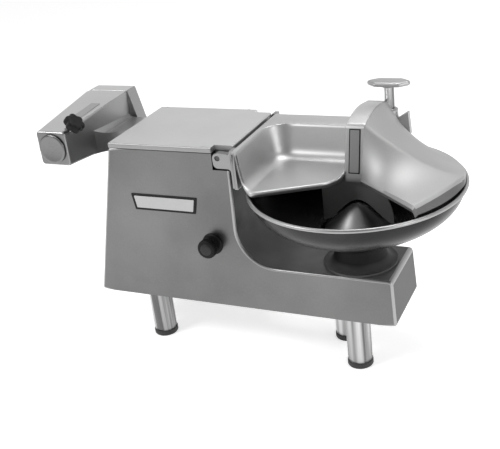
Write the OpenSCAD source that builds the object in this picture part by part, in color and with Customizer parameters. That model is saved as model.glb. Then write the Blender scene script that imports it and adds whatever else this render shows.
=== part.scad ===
// Bowl-type food cutter for a table top: a cast housing with a low arm carries a turning bowl,
// two knives on a level shaft sweep inside a hinged bowl cover, and an attachment hub stands
// at the rear left. X runs along the machine to the operator's right, Y away from the operator,
// Z up from the table. Inside this file the bowl's axis is x = 0, y = 0 until place() moves it.

/* [Legs] */
// Height of the housing's bottom above the table
leg_h = 125; // [100:1:150]
// Radius of a leg tube
leg_r = 27; // [22:0.5:30]
// Wall of a leg tube
leg_wall = 3; // [2:0.5:5]
// Height of a rubber foot tip
tip_h = 14; // [10:1:24]
// Distance of the left legs from the housing's left wall
leg_inset = 133; // [110:1:150]
// Distance of the front right leg from the bowl's axis
leg_right_x = 2; // [-10:1:30]

/* [Housing] */
// Width of the housing at its bottom, left of its right wall
housing_w = 378; // [360:1:400]
// Distance of the housing's right wall from the bowl's rim
housing_gap = 25.4; // [22:0.2:34]
// Height of the housing's casting, without the lid
housing_h = 360; // [350:1:372]
// Depth of the housing at its bottom behind the arm's front
housing_d = 285; // [280:1:300]
// Lean of the left wall, in mm for each mm of height
left_lean = 0.222; // [0.18:0.002:0.24]
// Lean of the front and back walls, in mm for each mm of height
front_lean = 0.05; // [0.03:0.002:0.06]
// Wall of the casting
wall = 9; // [7:0.5:11]
// Thickness of the lid
lid_t = 13; // [10:0.5:16]

/* [Arm] */
// Height of the arm under the bowl
arm_h = 104; // [96:1:110]
// Depth of the arm at its bottom
arm_d = 170; // [160:1:184]
// Reach of the arm to the right of the bowl's axis
arm_reach = 98; // [90:1:110]
// Radius of the hollow corner between arm and housing
corner_r = 88; // [70:1:96]

/* [Bowl] */
// Outer radius of the rim
bowl_r = 228.6; // [226:0.2:229]
// Depth of the rim under the top of the housing's casting
rim_drop = 76; // [70:1:82]
// Depth of the bowl under its rim
bowl_depth = 110; // [104:1:114]
// Wall of the bowl
bowl_t = 2.5; // [2:0.5:4]
// Radius of the rolled rim
bead_r = 4; // [3:0.5:5]
// Radius of the centre cone at its foot
cone_r = 82; // [70:1:90]
// Height of the centre cone above the bowl's floor
cone_h = 60; // [50:1:64]

/* [Cover] */
// Distance of the cover's round edge inside the bowl's rim
cover_in = 12.6; // [10:0.2:16]
// Half width of the knife hump
hump_half = 22; // [20:0.5:26]
// Wall of the cover
cover_t = 5; // [4:0.5:6]
// Height of the hump's front shoulder above the cover's top band
hump_rise = 31; // [24:1:38]
// Height of the tray floor above the bowl's rim
floor_lift = 18; // [14:1:24]
// Radius of a hinge pin
pin_r = 6; // [5:0.5:8]

/* [Knives] */
// Sweep radius of the knives as a share of the bowl's radius
knife_share = 0.394; // [0.37:0.002:0.4]
// Thickness of a knife
knife_t = 2.5; // [2:0.5:4]
// Distance of the knife shaft behind the bowl's axis as a share of the bowl's radius
shaft_share = 0.516; // [0.505:0.001:0.525]
// Height of the knife shaft above the bowl's rim
shaft_lift = 17; // [15:1:20]
// Radius of the knife shaft
shaft_r = 11; // [9:0.5:12]

/* [Attachment hub] */
// Distance of the hub's axis from the housing's left wall at its bottom
hub_out = 70; // [60:1:80]
// Depth of the hub's axis under the top of the housing's casting
hub_drop = 8; // [0:1:16]
// Side of the hub's square front
hub_w = 80; // [74:1:86]
// Length of the hub from its front to its rear cover
hub_l = 258; // [240:1:262]
// Radius of the hub's socket
socket_r = 17.5; // [15:0.5:20]
// Depth of the hub's socket
socket_d = 60; // [40:1:80]

/* [Lock knob] */
// Radius of the lock knob
knob_r = 47; // [40:1:52]
// Radius of the lock knob's stem
stem_r = 11; // [8:0.5:12]
// Height of the lock knob's underside above the bowl's rim
knob_lift = 152; // [140:1:160]

/* [Hidden] */

$fn = 72;
eps = 0.01;
fit = 0.05;
gap = 0.3;

z0 = leg_h;
x_right = -bowl_r - housing_gap;
x_left = x_right - housing_w;
y_front = -arm_d / 2;
deck_z = z0 + arm_h;
top_z = z0 + housing_h;
rim = top_z - rim_drop;
lid_z = top_z + lid_t;
shaft_y = bowl_r * shaft_share;
shaft_z = rim + shaft_lift;
knife_r = bowl_r * knife_share;
cover_r = bowl_r - cover_in;
hinge_x = x_right - 26;
hinge_z = top_z - 10;
seat_z = rim + bead_r;
tray_z = rim + floor_lift;
band = lid_z;
shoulder_z = band + hump_rise;
hub_x = -x_left + hub_out;
hub_axis_z = top_z - hub_drop;
hub_front = y_front + 16;
hub_back = hub_front + hub_l;
hub_far = hub_x + hub_w / 2 + 22;
place_x = (hub_far - bowl_r) / 2;

module place() {
    translate([place_x, 0, 0]) children();
}

// Points of an arc, from angle a0 to a1 in n steps
function arc(c, r, a0, a1, n) = [for (i = [0:n]) c + r * [cos(a0 + (a1 - a0) * i / n), sin(a0 + (a1 - a0) * i / n)]];
function smooth(t) = let (c = min(1, max(0, t))) c * c * (3 - 2 * c);
function mix(a, b, t) = a + (b - a) * t;

// A prism along Y from a profile given in X and Z
module along_y(y0, y1) {
    translate([0, y1, 0]) rotate([90, 0, 0]) linear_extrude(y1 - y0) children();
}

// A prism along X from a profile given in Y and Z
module along_x(x0, x1) {
    translate([x0, 0, 0]) rotate([90, 0, 90]) linear_extrude(x1 - x0) children();
}

module rod_x(x0, x1, r, y, z) {
    translate([x0, y, z]) rotate([0, 90, 0]) cylinder(h = x1 - x0, r = r);
}

module rod_y(y0, y1, r, x, z) {
    translate([x, y1, z]) rotate([90, 0, 0]) cylinder(h = y1 - y0, r = r);
}

// Housing and arm
end_lean = 0.056;

module housing_side(inset) {
    h = housing_h;
    foot = z0 - (inset > 0 ? 1 : 0);
    head = top_z + (inset > 0 ? 1 : 0);
    polygon([[x_left + inset, foot], [x_right - inset, foot], [x_right - inset, head],
             [x_left + h * left_lean + inset, head]]);
}

module arm_side(inset) {
    foot = z0 - (inset > 0 ? 1 : 0);
    c = [x_right + corner_r, deck_z + corner_r];
    r = corner_r + inset;
    polygon(concat([[x_left + wall * 3, foot], [arm_reach - inset, foot],
                    [arm_reach - inset - arm_h * end_lean, deck_z - inset]],
                   arc(c, r, 270, 180, 14),
                   [[x_left + wall * 3 + 60, deck_z + corner_r]]));
}

module housing_end(inset) {
    foot = z0 - 2;
    h = top_z + 2 - foot;
    lean = front_lean * h;
    polygon([[y_front + inset, foot], [y_front + housing_d - inset, foot],
             [y_front + housing_d - lean - inset, foot + h], [y_front + lean + inset, foot + h]]);
}

module arm_end(inset) {
    foot = z0 - 2;
    h = top_z + 2 - foot;
    lean = front_lean * h;
    polygon([[y_front + inset, foot], [y_front + arm_d - inset, foot],
             [y_front + arm_d - lean / 2 - inset, foot + h], [y_front + lean + inset, foot + h]]);
}

module housing_block(inset) {
    intersection() {
        along_y(-300, 300) housing_side(inset);
        along_x(-800, 300) housing_end(inset);
    }
}

module arm_block(inset) {
    intersection() {
        along_y(-300, 300) arm_side(inset);
        along_x(-800, 300) arm_end(inset);
    }
}

ear_t = 18;
ear_front = y_front + 18;
ear_back = y_front + housing_d - 18 - ear_t;
ear_gap = 1.2;
notch_x = hinge_x - 13;
notch_z = hinge_z - 26;

// The two pockets at the housing's upper right corners, where the cover's arms hang on their pins
module ear_notches() {
    translate([notch_x, -300, notch_z])
        cube([200, 300 + ear_front + ear_t + ear_gap, 200]);
    translate([notch_x, ear_back - ear_gap, notch_z]) cube([200, 300, 200]);
}

module pocket_walls() {
    intersection() {
        housing_block(0);
        union() {
            translate([notch_x - wall, -300, notch_z - wall])
                cube([200, 300 + ear_front + ear_t + ear_gap + wall, 200]);
            translate([notch_x - wall, ear_back - ear_gap - wall, notch_z - wall]) cube([200, 300, 200]);
        }
    }
}

switch_x = x_right - 60;
switch_z = z0 + 150;
switch_r = 22;
spindle_r = 12;
bearing_wall = 10;
leg_seat = 30;
boss_wall = 5;
leg_left_y = [y_front + 43, y_front + housing_d - 50];
leg_right_y = [y_front + 32, arm_d / 2 - 40];
leg_spots = [[x_left + leg_inset, leg_left_y[0]], [leg_right_x, leg_right_y[0]],
             [x_left + leg_inset, leg_left_y[1]], [leg_right_x - 62, leg_right_y[1]]];
leg_web = 16;
bearing_drop = 20;
switch_neck = 12;

motor_r = 78;
motor_y = 58;
motor_z = z0 + 150;
motor_x = [x_right - 246, x_right - 76];
belt_x = x_right - 278;
belt_w = 22;
pulley_room = y_front + housing_d - front_lean * housing_h - wall - shaft_y;
pulley_r = pulley_room * 0.61;
worm_r = 12;
wheel_r = arm_d * 0.259;
worm_y = wheel_r + worm_r + gap;
worm_z = z0 + arm_h / 2;
worm_pulley_r = 42;
bowl_belt_x = x_right - 44;
small_pulley_r = 16;

module leg_bosses() {
    intersection() {
        union() {
            housing_block(0);
            arm_block(0);
        }
        for (i = [0:3]) {
            p = leg_spots[i];
            reach = i < 2 ? y_front + wall / 2 : (i == 2 ? y_front + housing_d : arm_d / 2) - wall / 2;
            translate([p[0], p[1], z0]) cylinder(h = leg_seat + 4, r = leg_r + boss_wall);
            translate([p[0] - leg_web / 2, min(p[1], reach), z0]) cube([leg_web, abs(reach - p[1]), leg_seat + 4]);
        }
    }
}

// Ribs on the back wall that hold the motor and the knife shaft's left bearing
module inner_ribs() {
    intersection() {
        housing_block(0);
        union() {
            for (x = [motor_x[0] + 20, motor_x[1] - 36])
                translate([x, motor_y + 30, motor_z - 40]) cube([16, 200, 80]);
            translate([x_right - 252, shaft_y - 30, shaft_z - 30]) cube([20, 200, 60]);
            rod_x(x_right - 40, x_right, 30, shaft_y, shaft_z);
        }
    }
}

// One hollow casting, open below, with seats for the legs, the motor, the bearings and the pins
module base_casting() {
    color("silver")
    difference() {
        union() {
            difference() {
                union() {
                    housing_block(0);
                    arm_block(0);
                }
                housing_block(wall);
                arm_block(wall);
            }
            pocket_walls();
            leg_bosses();
            inner_ribs();
            translate([0, 0, deck_z - wall - bearing_drop])
                cylinder(h = bearing_drop + eps, r = spindle_r + bearing_wall + 12);
        }
        ear_notches();
        rod_y(-300, 300, pin_r + fit, hinge_x, hinge_z);
        rod_x(x_right - 300, x_right + 20, shaft_r + bearing_wall + fit, shaft_y, shaft_z);
        rod_x(motor_x[0] - 1, motor_x[1] + 1, motor_r + fit, motor_y, motor_z);
        translate([0, 0, deck_z - 60]) cylinder(h = 100, r = spindle_r + bearing_wall + fit);
        rod_y(y_front - 20, y_front + 60, switch_neck + 2, switch_x, switch_z);
        rod_x(x_left, x_left + 90, cross_r + fit, hub_drive_y, cross_z);
        for (p = leg_spots) translate([p[0], p[1], z0 - 1]) cylinder(h = leg_seat + 1, r = leg_r + fit);
    }
}

// The lid lies on the casting's rim and is held by four screws. Its right edge is rolled off, so that
// the cover clears it when it swings open
lid_left = x_left + housing_h * left_lean;
lid_right = x_right + 12;
lid_front = y_front + front_lean * housing_h;
lid_back = y_front + housing_d - front_lean * housing_h;
lid_edge = 4;
lid_roll = lid_t - 3;
lid_spots = [for (x = [lid_left + 20, notch_x - 20]) for (y = [lid_front + 6, lid_back - 6]) [x, y]];

module housing_lid() {
    color("gainsboro")
    difference() {
        union() {
            translate([lid_left, lid_front, top_z])
                cube([lid_right - lid_left, lid_back - lid_front, lid_t - lid_roll]);
            along_y(lid_front, lid_back)
                polygon(concat([[lid_left, top_z], [lid_right, top_z]],
                               arc([lid_right - lid_roll, lid_z - lid_roll], lid_roll, 0, 90, 6),
                               arc([lid_left + lid_edge, lid_z - lid_edge], lid_edge, 90, 180, 4)));
        }
        ear_notches();
    }
}

// A flat plate that closes the hollow casting from below
module bottom_cover() {
    plate_t = 2.5;
    color("darkgray")
    difference() {
        union() {
            translate([x_left + wall + 2, y_front + wall + gap, z0])
                cube([housing_w - 2 * wall - 2, housing_d - 2 * wall - 2 * gap, plate_t]);
            translate([x_left + wall + 2, y_front + wall + gap, z0])
                cube([arm_reach - x_left - 2 * wall - 4, arm_d - 2 * wall - 2 * gap, plate_t]);
        }
        for (i = [0:3]) {
            p = leg_spots[i];
            toward = i < 2 ? -1 : 1;
            translate([p[0], p[1], z0 - 1]) cylinder(h = plate_t + 2, r = leg_r + boss_wall + gap);
            translate([p[0] - leg_web / 2 - gap, p[1] + min(0, toward * 100), z0 - 1])
                cube([leg_web + 2 * gap, 100, plate_t + 2]);
        }
    }
}

// Four tubes stand in the casting's seats
module leg_tubes() {
    color("lightgray")
    for (p = leg_spots) translate([p[0], p[1], 4]) difference() {
        cylinder(h = z0 + leg_seat - 4, r = leg_r);
        translate([0, 0, -1]) cylinder(h = z0 + leg_seat, r = leg_r - leg_wall);
    }
}

module foot_tips() {
    color("dimgray")
    for (p = leg_spots) translate([p[0], p[1], 0]) difference() {
        union() {
            cylinder(h = 2, r1 = leg_r - 0.5, r2 = leg_r + 1.5);
            translate([0, 0, 2]) cylinder(h = tip_h - 2, r = leg_r + 1.5);
        }
        translate([0, 0, 4]) cylinder(h = tip_h, r = leg_r + fit);
    }
}

// A bare plate in the place of the front badge, wider at its top
badge_x = x_right - 170;
badge_z = z0 + housing_h * 0.66;
badge_w = [167, 153];
badge_h = 38;

module on_front(x, z) {
    translate([x, y_front + front_lean * (z - z0), z]) rotate([90 - atan(front_lean), 0, 0]) children();
}

module badge_plate() {
    color("dimgray")
    on_front(badge_x, badge_z) linear_extrude(2.5)
        polygon([[-badge_w[1] / 2, -badge_h / 2], [badge_w[1] / 2, -badge_h / 2],
                 [badge_w[0] / 2, badge_h / 2], [-badge_w[0] / 2, badge_h / 2]]);
}

// The pull switch: a bezel with a neck through the wall, and its knob
module switch_bezel() {
    color("black")
    on_front(switch_x, switch_z) difference() {
        union() {
            cylinder(h = 5, r1 = switch_r + 3, r2 = switch_r + 1);
            translate([0, 0, -wall]) cylinder(h = wall + 1, r = switch_neck);
        }
        translate([0, 0, -wall - 1]) cylinder(h = wall + 8, r = 7.5);
    }
}

module switch_knob() {
    color("black")
    on_front(switch_x, switch_z) union() {
        translate([0, 0, -wall - 2]) cylinder(h = wall + 20, r = 7.4);
        translate([0, 0, 16]) cylinder(h = 4, r1 = switch_r - 4, r2 = switch_r);
        translate([0, 0, 20]) cylinder(h = 12, r = switch_r);
        translate([0, 0, 32]) cylinder(h = 3, r1 = switch_r, r2 = switch_r - 5);
    }
}

module hinge_pins() {
    color("dimgray") {
        rod_y(ear_front + 1, ear_front + ear_t + ear_gap + wall, pin_r, hinge_x, hinge_z);
        rod_y(ear_back - ear_gap - wall, ear_back + ear_t - 1, pin_r, hinge_x, hinge_z);
    }
}

// Bowl, its stand and its drive
pedestal_h = (rim - bowl_depth - deck_z) * 0.657;

// The stand flares onto the arm's deck
module bowl_pedestal() {
    h = pedestal_h;
    color("silver")
    translate([0, 0, deck_z]) difference() {
        rotate_extrude() polygon(concat([[0, 0], [80, 0], [80, 5]], arc([76, 25], 20, 270, 180, 6),
                                        [[52, h - 2], [50, h], [0, h]]));
        translate([0, 0, -1]) cylinder(h = h + 2, r = spindle_r + 1);
    }
}

module bowl_bearing() {
    color("darkgray")
    translate([0, 0, deck_z - wall - bearing_drop]) difference() {
        cylinder(h = wall + bearing_drop, r = spindle_r + bearing_wall);
        translate([0, 0, -1]) cylinder(h = wall + bearing_drop + 2, r = spindle_r + fit);
    }
}

bowl_in = bowl_r - bead_r * 1.6;
function bowl_wall(r, t) = rim - (bowl_depth - t) * sqrt(max(0, 1 - pow(r / (bowl_in - t), 2)));
function bowl_top(r) = r > cone_r ? bowl_wall(r, bowl_t)
    : bowl_wall(cone_r, bowl_t) + cone_h * smooth(1 - r / cone_r);
function bowl_under(r) = r > cone_r ? bowl_wall(r, 0)
    : bowl_wall(cone_r, 0) + (cone_h - 2) * smooth(1 - r / (cone_r - 2));
cone_steps = 12;
side_steps = 20;

// The bowl is one spun profile: cone, elliptical wall and rolled rim
module bowl() {
    cone = [for (i = [0:cone_steps]) cone_r * i / cone_steps];
    side = [for (i = [1:side_steps]) cone_r + (bowl_in - bowl_t - cone_r) * sin(90 * i / side_steps)];
    low = [for (i = [1:side_steps]) cone_r + (bowl_in - cone_r) * sin(90 * i / side_steps)];
    upper = concat([for (r = cone) [r, bowl_top(r)]], [for (r = side) [r, bowl_top(r)]]);
    lower = concat([for (r = cone) [r, bowl_under(r)]], [for (r = low) [r, bowl_under(r)]]);
    color("silver")
    rotate_extrude($fn = 96)
        polygon(concat(upper, arc([bowl_r - bead_r, rim], bead_r, 165, -128, 16),
                       [for (i = [len(lower) - 2:-1:0]) lower[i]]));
}

carrier_z = bowl_wall(cone_r, 0) - gap;

module bowl_spindle() {
    color("darkgray") {
        translate([0, 0, worm_z - 16]) cylinder(h = carrier_z - worm_z + 16, r = spindle_r);
        translate([0, 0, deck_z + pedestal_h + gap])
            cylinder(h = carrier_z - deck_z - pedestal_h - gap - 6, r1 = 34, r2 = 50);
        translate([0, 0, carrier_z - 6]) cylinder(h = 6, r = cone_r - 4);
        translate([0, 0, carrier_z]) cylinder(h = cone_h * 0.45, r1 = 24, r2 = 14);
    }
}

// Worm drive of the bowl
module worm_wheel() {
    teeth = 40;
    color("goldenrod")
    translate([0, 0, worm_z - 11]) difference() {
        cylinder(h = 22, r = wheel_r);
        translate([0, 0, -1]) cylinder(h = 24, r = spindle_r + fit);
        for (i = [0:teeth - 1]) rotate([0, 0, i * 360 / teeth])
            translate([wheel_r - 2.5, -1.6, -1]) cube([4, 3.2, 24]);
    }
}

module worm_shaft() {
    color("darkgray") {
        rod_x(bowl_belt_x - 20, 48, 8, worm_y, worm_z);
        for (i = [0:8]) rod_x(-26 + i * 6, -23 + i * 6, worm_r, worm_y, worm_z);
        rod_x(-26, 26, worm_r - 3, worm_y, worm_z);
        difference() {
            rod_x(bowl_belt_x - 12, bowl_belt_x + 12, worm_pulley_r + 3, worm_y, worm_z);
            translate([bowl_belt_x, worm_y, worm_z]) rotate([0, 90, 0]) difference() {
                cylinder(h = 16, r = worm_pulley_r + 10, center = true);
                cylinder(h = 18, r = worm_pulley_r, center = true);
            }
        }
    }
}

module worm_bearings() {
    block = arm_d / 6;
    color("dimgray")
    for (x = [-70, 34]) difference() {
        translate([x, worm_y - block / 2, worm_z - 18]) cube([14, block, deck_z - wall - worm_z + 18]);
        rod_x(x - 1, x + 15, 8 + fit, worm_y, worm_z);
    }
}

// Motor, belts and knife shaft
rotor_r = 48;

module motor_stator() {
    color("dimgray")
    difference() {
        union() {
            rod_x(motor_x[0], motor_x[1], motor_r, motor_y, motor_z);
            rod_x(motor_x[0] - 12, motor_x[0], motor_r - 14, motor_y, motor_z);
            rod_x(motor_x[1], motor_x[1] + 12, motor_r - 14, motor_y, motor_z);
        }
        rod_x(motor_x[0] + 4, motor_x[1] - 4, rotor_r + gap, motor_y, motor_z);
        rod_x(motor_x[0] - 20, motor_x[1] + 20, 10 + fit, motor_y, motor_z);
    }
}

module motor_rotor() {
    color("darkgray") {
        rod_x(belt_x - 14, bowl_belt_x + 14, 10, motor_y, motor_z);
        rod_x(motor_x[0] + 20, motor_x[1] - 20, rotor_r, motor_y, motor_z);
    }
}

module pulley(x, r, bore, y, z) {
    difference() {
        rod_x(x - belt_w / 2, x + belt_w / 2, r + 3, y, z);
        translate([x, y, z]) rotate([0, 90, 0]) difference() {
            cylinder(h = belt_w - 6, r = r + 10, center = true);
            cylinder(h = belt_w, r = r, center = true);
        }
        rod_x(x - belt_w, x + belt_w, bore, y, z);
    }
}

module motor_pulley() {
    color("gray") {
        pulley(belt_x, pulley_r, 10 + fit, motor_y, motor_z);
        pulley(bowl_belt_x, small_pulley_r, 10 + fit, motor_y, motor_z);
    }
}

module belt_loop(x, w, a, ra, b, rb, t) {
    along_x(x - w / 2, x + w / 2) difference() {
        hull() {
            translate(a) circle(r = ra + t, $fn = 32);
            translate(b) circle(r = rb + t, $fn = 32);
        }
        hull() {
            translate(a) circle(r = ra, $fn = 32);
            translate(b) circle(r = rb, $fn = 32);
        }
    }
}

// Two belts: motor to knife shaft at the left, motor to worm shaft at the right
module drive_belt() {
    w = belt_w - 8;
    color("black") {
        belt_loop(belt_x, w, [motor_y, motor_z], pulley_r + gap, [shaft_y, shaft_z], pulley_r + gap, 5);
        belt_loop(bowl_belt_x, w, [motor_y, motor_z], small_pulley_r + gap, [worm_y, worm_z],
                  worm_pulley_r + gap, 5);
    }
}

module knife_pulley() {
    color("gray") pulley(belt_x, pulley_r, shaft_r - 2 + fit, shaft_y, shaft_z);
}

module shaft_bearings() {
    color("darkgray")
    for (x = [x_right - 252, x_right - 26]) difference() {
        rod_x(x, x + 20, shaft_r + bearing_wall, shaft_y, shaft_z);
        rod_x(x - 1, x + 21, shaft_r + fit, shaft_y, shaft_z);
    }
}

hub_half = 9;

module knife_shaft() {
    color("silver") {
        rod_x(x_right - 262, -hub_half - 1, shaft_r, shaft_y, shaft_z);
        rod_x(belt_x - belt_w / 2, x_right - 261, shaft_r - 2, shaft_y, shaft_z);
        rod_x(-hub_half - 2, hub_half + 3, shaft_r - 2, shaft_y, shaft_z);
    }
}

module knife_hub() {
    color("silver")
    difference() {
        union() {
            rod_x(-hub_half, -4.6, 23, shaft_y, shaft_z);
            rod_x(-4.6, 4.6, 17, shaft_y, shaft_z);
        }
        rod_x(-hub_half - 1, hub_half + 4, shaft_r - 2 + fit, shaft_y, shaft_z);
    }
}

module knife_nut() {
    color("dimgray")
    difference() {
        translate([4.7, shaft_y, shaft_z]) rotate([0, 90, 0]) cylinder(h = 8, r = 21, $fn = 6);
        rod_x(4, 14, shaft_r - 2 + fit, shaft_y, shaft_z);
    }
}

// A knife is a curved blade: its cutting edge is an arc that bulges the way it turns
module knife_outline() {
    r = knife_r;
    difference() {
        intersection() {
            circle(r = r);
            translate([r * 0.36, 0]) circle(r = r * 0.98);
            translate([-r * 0.1, -r * 1.2]) square([r * 1.2, r * 1.4]);
        }
        translate([-r * 0.42, -r * 0.62]) circle(r = r * 0.66);
    }
}

module knife(x, turn) {
    difference() {
        along_x(x, x + knife_t) translate([shaft_y, shaft_z]) rotate(turn) union() {
            circle(r = 20);
            knife_outline();
        }
        rod_x(x - 1, x + knife_t + 1, 17 + fit, shaft_y, shaft_z);
    }
}

module inner_knife() { color("lightgray") knife(-4.5, 20); }
module outer_knife() { color("lightgray") knife(4.5 - knife_t, 200); }

// Bowl cover: one thin casting with a tray at the left, the knife hump and a flared right side
tray_x = x_right + 18;
bell_x = hump_half - 2;
lip_front = -8;
lip_points = [[tray_x, -78], [tray_x + 17, -98], [tray_x + 54, -124], [-46, -50], [-30, -24], [-bell_x, lip_front]];
tray_back = 98;
band_back = 158;
wall_run = 36;
edge_z = seat_z + 1.5;
shell_cols = 22;

function lip_y(x) = lookup(x, lip_points);
function tray_height(x, y) = mix(band, tray_z, (1 - smooth((y - tray_back + wall_run) / wall_run))
                                              * (1 - smooth((tray_x + 40 - x) / 32)));
function back_y(x) = max(band_back + 5, sqrt(max(0, cover_r * cover_r - x * x)));

// One column of the tray, from the front lip over the floor and the top band down the back wall
function tray_column(x) = let (y0 = lip_y(x), z0_ = tray_height(x, y0), yb = back_y(x), foot = tray_back - wall_run)
    concat([[x, y0 + 2, z0_ - 11], [x, y0, z0_ - 5], [x, y0 + 4, z0_]],
           [for (v = [0.34, 0.67, 1]) let (y = mix(y0 + 4, foot, v)) [x, y, tray_height(x, y)]],
           [for (v = [0.2, 0.4, 0.6, 0.8, 1]) let (y = mix(foot, tray_back, v)) [x, y, tray_height(x, y)]],
           [[x, band_back - 3, band], [x, band_back, band - 3]],
           [for (v = [0.33, 0.67, 1]) [x, mix(band_back, yb, sin(90 * v)), mix(band - 3, edge_z, v)]]);

// The left wall is the first column lowered to the cover's edge
function tray_wall(z) = [for (p = tray_column(tray_x)) [tray_x - 2, p[1], min(p[2], z)]];
function tray_grid() = concat([tray_wall(edge_z), tray_wall(band - 4)],
                              [for (i = [0:shell_cols]) tray_column(mix(tray_x, -bell_x, pow(i / shell_cols, 1.25)))]);

hump_top = 12;
hump_foot = tray_z - 12;
shoulder_y = 20;
peak_y = bowl_r * 0.69;
hump_back = cover_r + 2;
bell_edge = rim + floor_lift;
bell_corner = cover_r * [0.73, -0.6];
bell_seat = edge_z + 2;
crease_angle = 4;
crease_share = 0.34;
settle_angle = 28;

// Height of the hump's side edge above the front to back line
function hump_edge(y) = y < shoulder_y ? mix(tray_z - 2, shoulder_z, (y - lip_front) / (shoulder_y - lip_front))
    : y < peak_y ? shoulder_z + hump_top * sin(180 * (y - shoulder_y) / (peak_y - shoulder_y)) * 0.8
                   + 4 * (y - shoulder_y) / (peak_y - shoulder_y)
    : mix(shoulder_z + 4, edge_z + 8, pow((y - peak_y) / (hump_back - peak_y), 2.4));
function bell_start(t) = t < crease_share ? mix(lip_front, shoulder_y, t / crease_share)
    : mix(shoulder_y, hump_back - 6, (t - crease_share) / (1 - crease_share));
function bell_angle(t) = mix(crease_angle, 84, (t - crease_share) / (1 - crease_share));
function on_edge(r, angle) = r * [cos(angle), sin(angle)];

// The bell's outer edge: straight from its front corner to the right, then round and down on the rim
function bell_outer(t) = t < crease_share ? mix(bell_corner, on_edge(cover_r, crease_angle), t / crease_share)
    : on_edge(cover_r, bell_angle(t));
function bell_edge_z(t) = mix(bell_edge, bell_seat, smooth((bell_angle(t) - crease_angle) / settle_angle));
function bell_point(t, u) = let (q = mix([bell_x, bell_start(t)], bell_outer(t), u))
    [q[0], q[1], mix(bell_edge_z(t), hump_edge(bell_start(t)) - 3, pow(1 - u, 1.5))];
function bell_row(u) = concat([let (p = bell_point(0, u)) [p[0] + 1, p[1] + 1, p[2] - 9]],
                              [for (i = [0:20]) bell_point(i / 20, u)]);
function bell_grid() = concat([for (i = [0:12]) bell_row(i / 12)],
                              [[for (p = bell_row(1)) concat(on_edge(cover_r + 1.5, atan2(p[1], p[0])), edge_z)]]);

// Offset of a grid point along the grid's own normal
function grid_normal(g, i, j) = let (n = len(g) - 1, m = len(g[0]) - 1,
        a = g[min(i + 1, n)][j] - g[max(i - 1, 0)][j], b = g[i][min(j + 1, m)] - g[i][max(j - 1, 0)],
        c = cross(a, b)) c / max(norm(c), 0.000001);

// A shell of even thickness under a grid of points
module shell(g, t) {
    n = len(g);
    m = len(g[0]);
    upper = [for (i = [0:n - 1]) for (j = [0:m - 1]) g[i][j]];
    lower = [for (i = [0:n - 1]) for (j = [0:m - 1]) g[i][j] - t * grid_normal(g, i, j)];
    k = n * m;
    faces = concat(
        [for (i = [0:n - 2]) for (j = [0:m - 2]) each [[i * m + j, (i + 1) * m + j + 1, (i + 1) * m + j],
                                                      [i * m + j, i * m + j + 1, (i + 1) * m + j + 1]]],
        [for (i = [0:n - 2]) for (j = [0:m - 2]) each [[k + i * m + j, k + (i + 1) * m + j, k + (i + 1) * m + j + 1],
                                                      [k + i * m + j, k + (i + 1) * m + j + 1, k + i * m + j + 1]]],
        [for (i = [0:n - 2]) each [[i * m, (i + 1) * m, k + (i + 1) * m], [i * m, k + (i + 1) * m, k + i * m]]],
        [for (i = [0:n - 2]) each [[i * m + m - 1, k + (i + 1) * m + m - 1, (i + 1) * m + m - 1],
                                   [i * m + m - 1, k + i * m + m - 1, k + (i + 1) * m + m - 1]]],
        [for (j = [0:m - 2]) each [[j, k + j + 1, j + 1], [j, k + j, k + j + 1]]],
        [for (j = [0:m - 2]) let (a = (n - 1) * m + j) each [[a, a + 1, k + a + 1], [a, k + a + 1, k + a]]]);
    polyhedron(points = concat(upper, lower), faces = faces);
}

function hump_outline() = concat([[lip_front, hump_foot], [lip_front, tray_z - 2]],
    [for (v = [0.3, 0.6, 0.85, 1]) [mix(lip_front, shoulder_y, v), hump_edge(mix(lip_front, shoulder_y, v))]],
    [for (v = [0.08:0.092:1]) [mix(shoulder_y, peak_y, v), hump_edge(mix(shoulder_y, peak_y, v))]],
    [for (v = [0.15, 0.3, 0.45, 0.6, 0.75, 0.9, 1])
        [mix(peak_y, hump_back, v), hump_edge(mix(peak_y, hump_back, v))]],
    [[hump_back, edge_z]]);

stem_x = 26;
stem_y = peak_y + 20;
boss_r = 18;
boss_top = band + 13;
boss_foot = edge_z + 40;
bushing_r = stem_r + 3;

module hump_shell() {
    difference() {
        along_x(-hump_half, hump_half) polygon(hump_outline());
        hump_hollow();
    }
}

module hump_hollow() {
    along_x(-hump_half + cover_t, hump_half - cover_t)
        offset(delta = -cover_t) polygon(concat([[lip_front, tray_z - 60]], hump_outline(),
                                                [[hump_back, tray_z - 60]]));
}

// A web that rises outwards carries the boss on the bell's back
web_t = 14;
web_reach = 42;

module boss_web() {
    along_y(stem_y - web_t / 2, stem_y + web_t / 2)
        polygon([[stem_x, boss_foot], [stem_x + web_reach + 4, boss_foot], [stem_x + web_reach, boss_top - 4],
                 [stem_x + boss_r, boss_top - 20], [stem_x, boss_top - 20]]);
}

module bowl_cover() {
    color("gainsboro")
    difference() {
        union() {
            shell(tray_grid(), cover_t);
            shell(bell_grid(), cover_t);
            hump_shell();
            translate([stem_x, stem_y, boss_foot]) cylinder(h = boss_top - boss_foot, r = boss_r, $fn = 40);
            boss_web();
        }
        hump_hollow();
        translate([-300, shaft_y - shaft_r - 4, z0]) cube([300, 2 * shaft_r + 8, shaft_z - z0 + shaft_r + 4]);
        translate([stem_x, stem_y, z0]) cylinder(h = 500, r = bushing_r + 0.2, $fn = 40);
    }
}

// The two arms that carry the cover on the housing's hinge pins
barrel_r = 11;
arm_foot = rim - 4;
arm_outline = [[hinge_x, hinge_z + barrel_r], [hinge_x + 27, hinge_z + 10], [hinge_x + 31, hinge_z + 20],
               [tray_x - 2.2, hinge_z + 16], [tray_x - 2.2, arm_foot], [tray_x - 12, arm_foot],
               [tray_x - 15, hinge_z - 26], [hinge_x + 24, hinge_z - 24], [hinge_x - 3, hinge_z - 22]];

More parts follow.
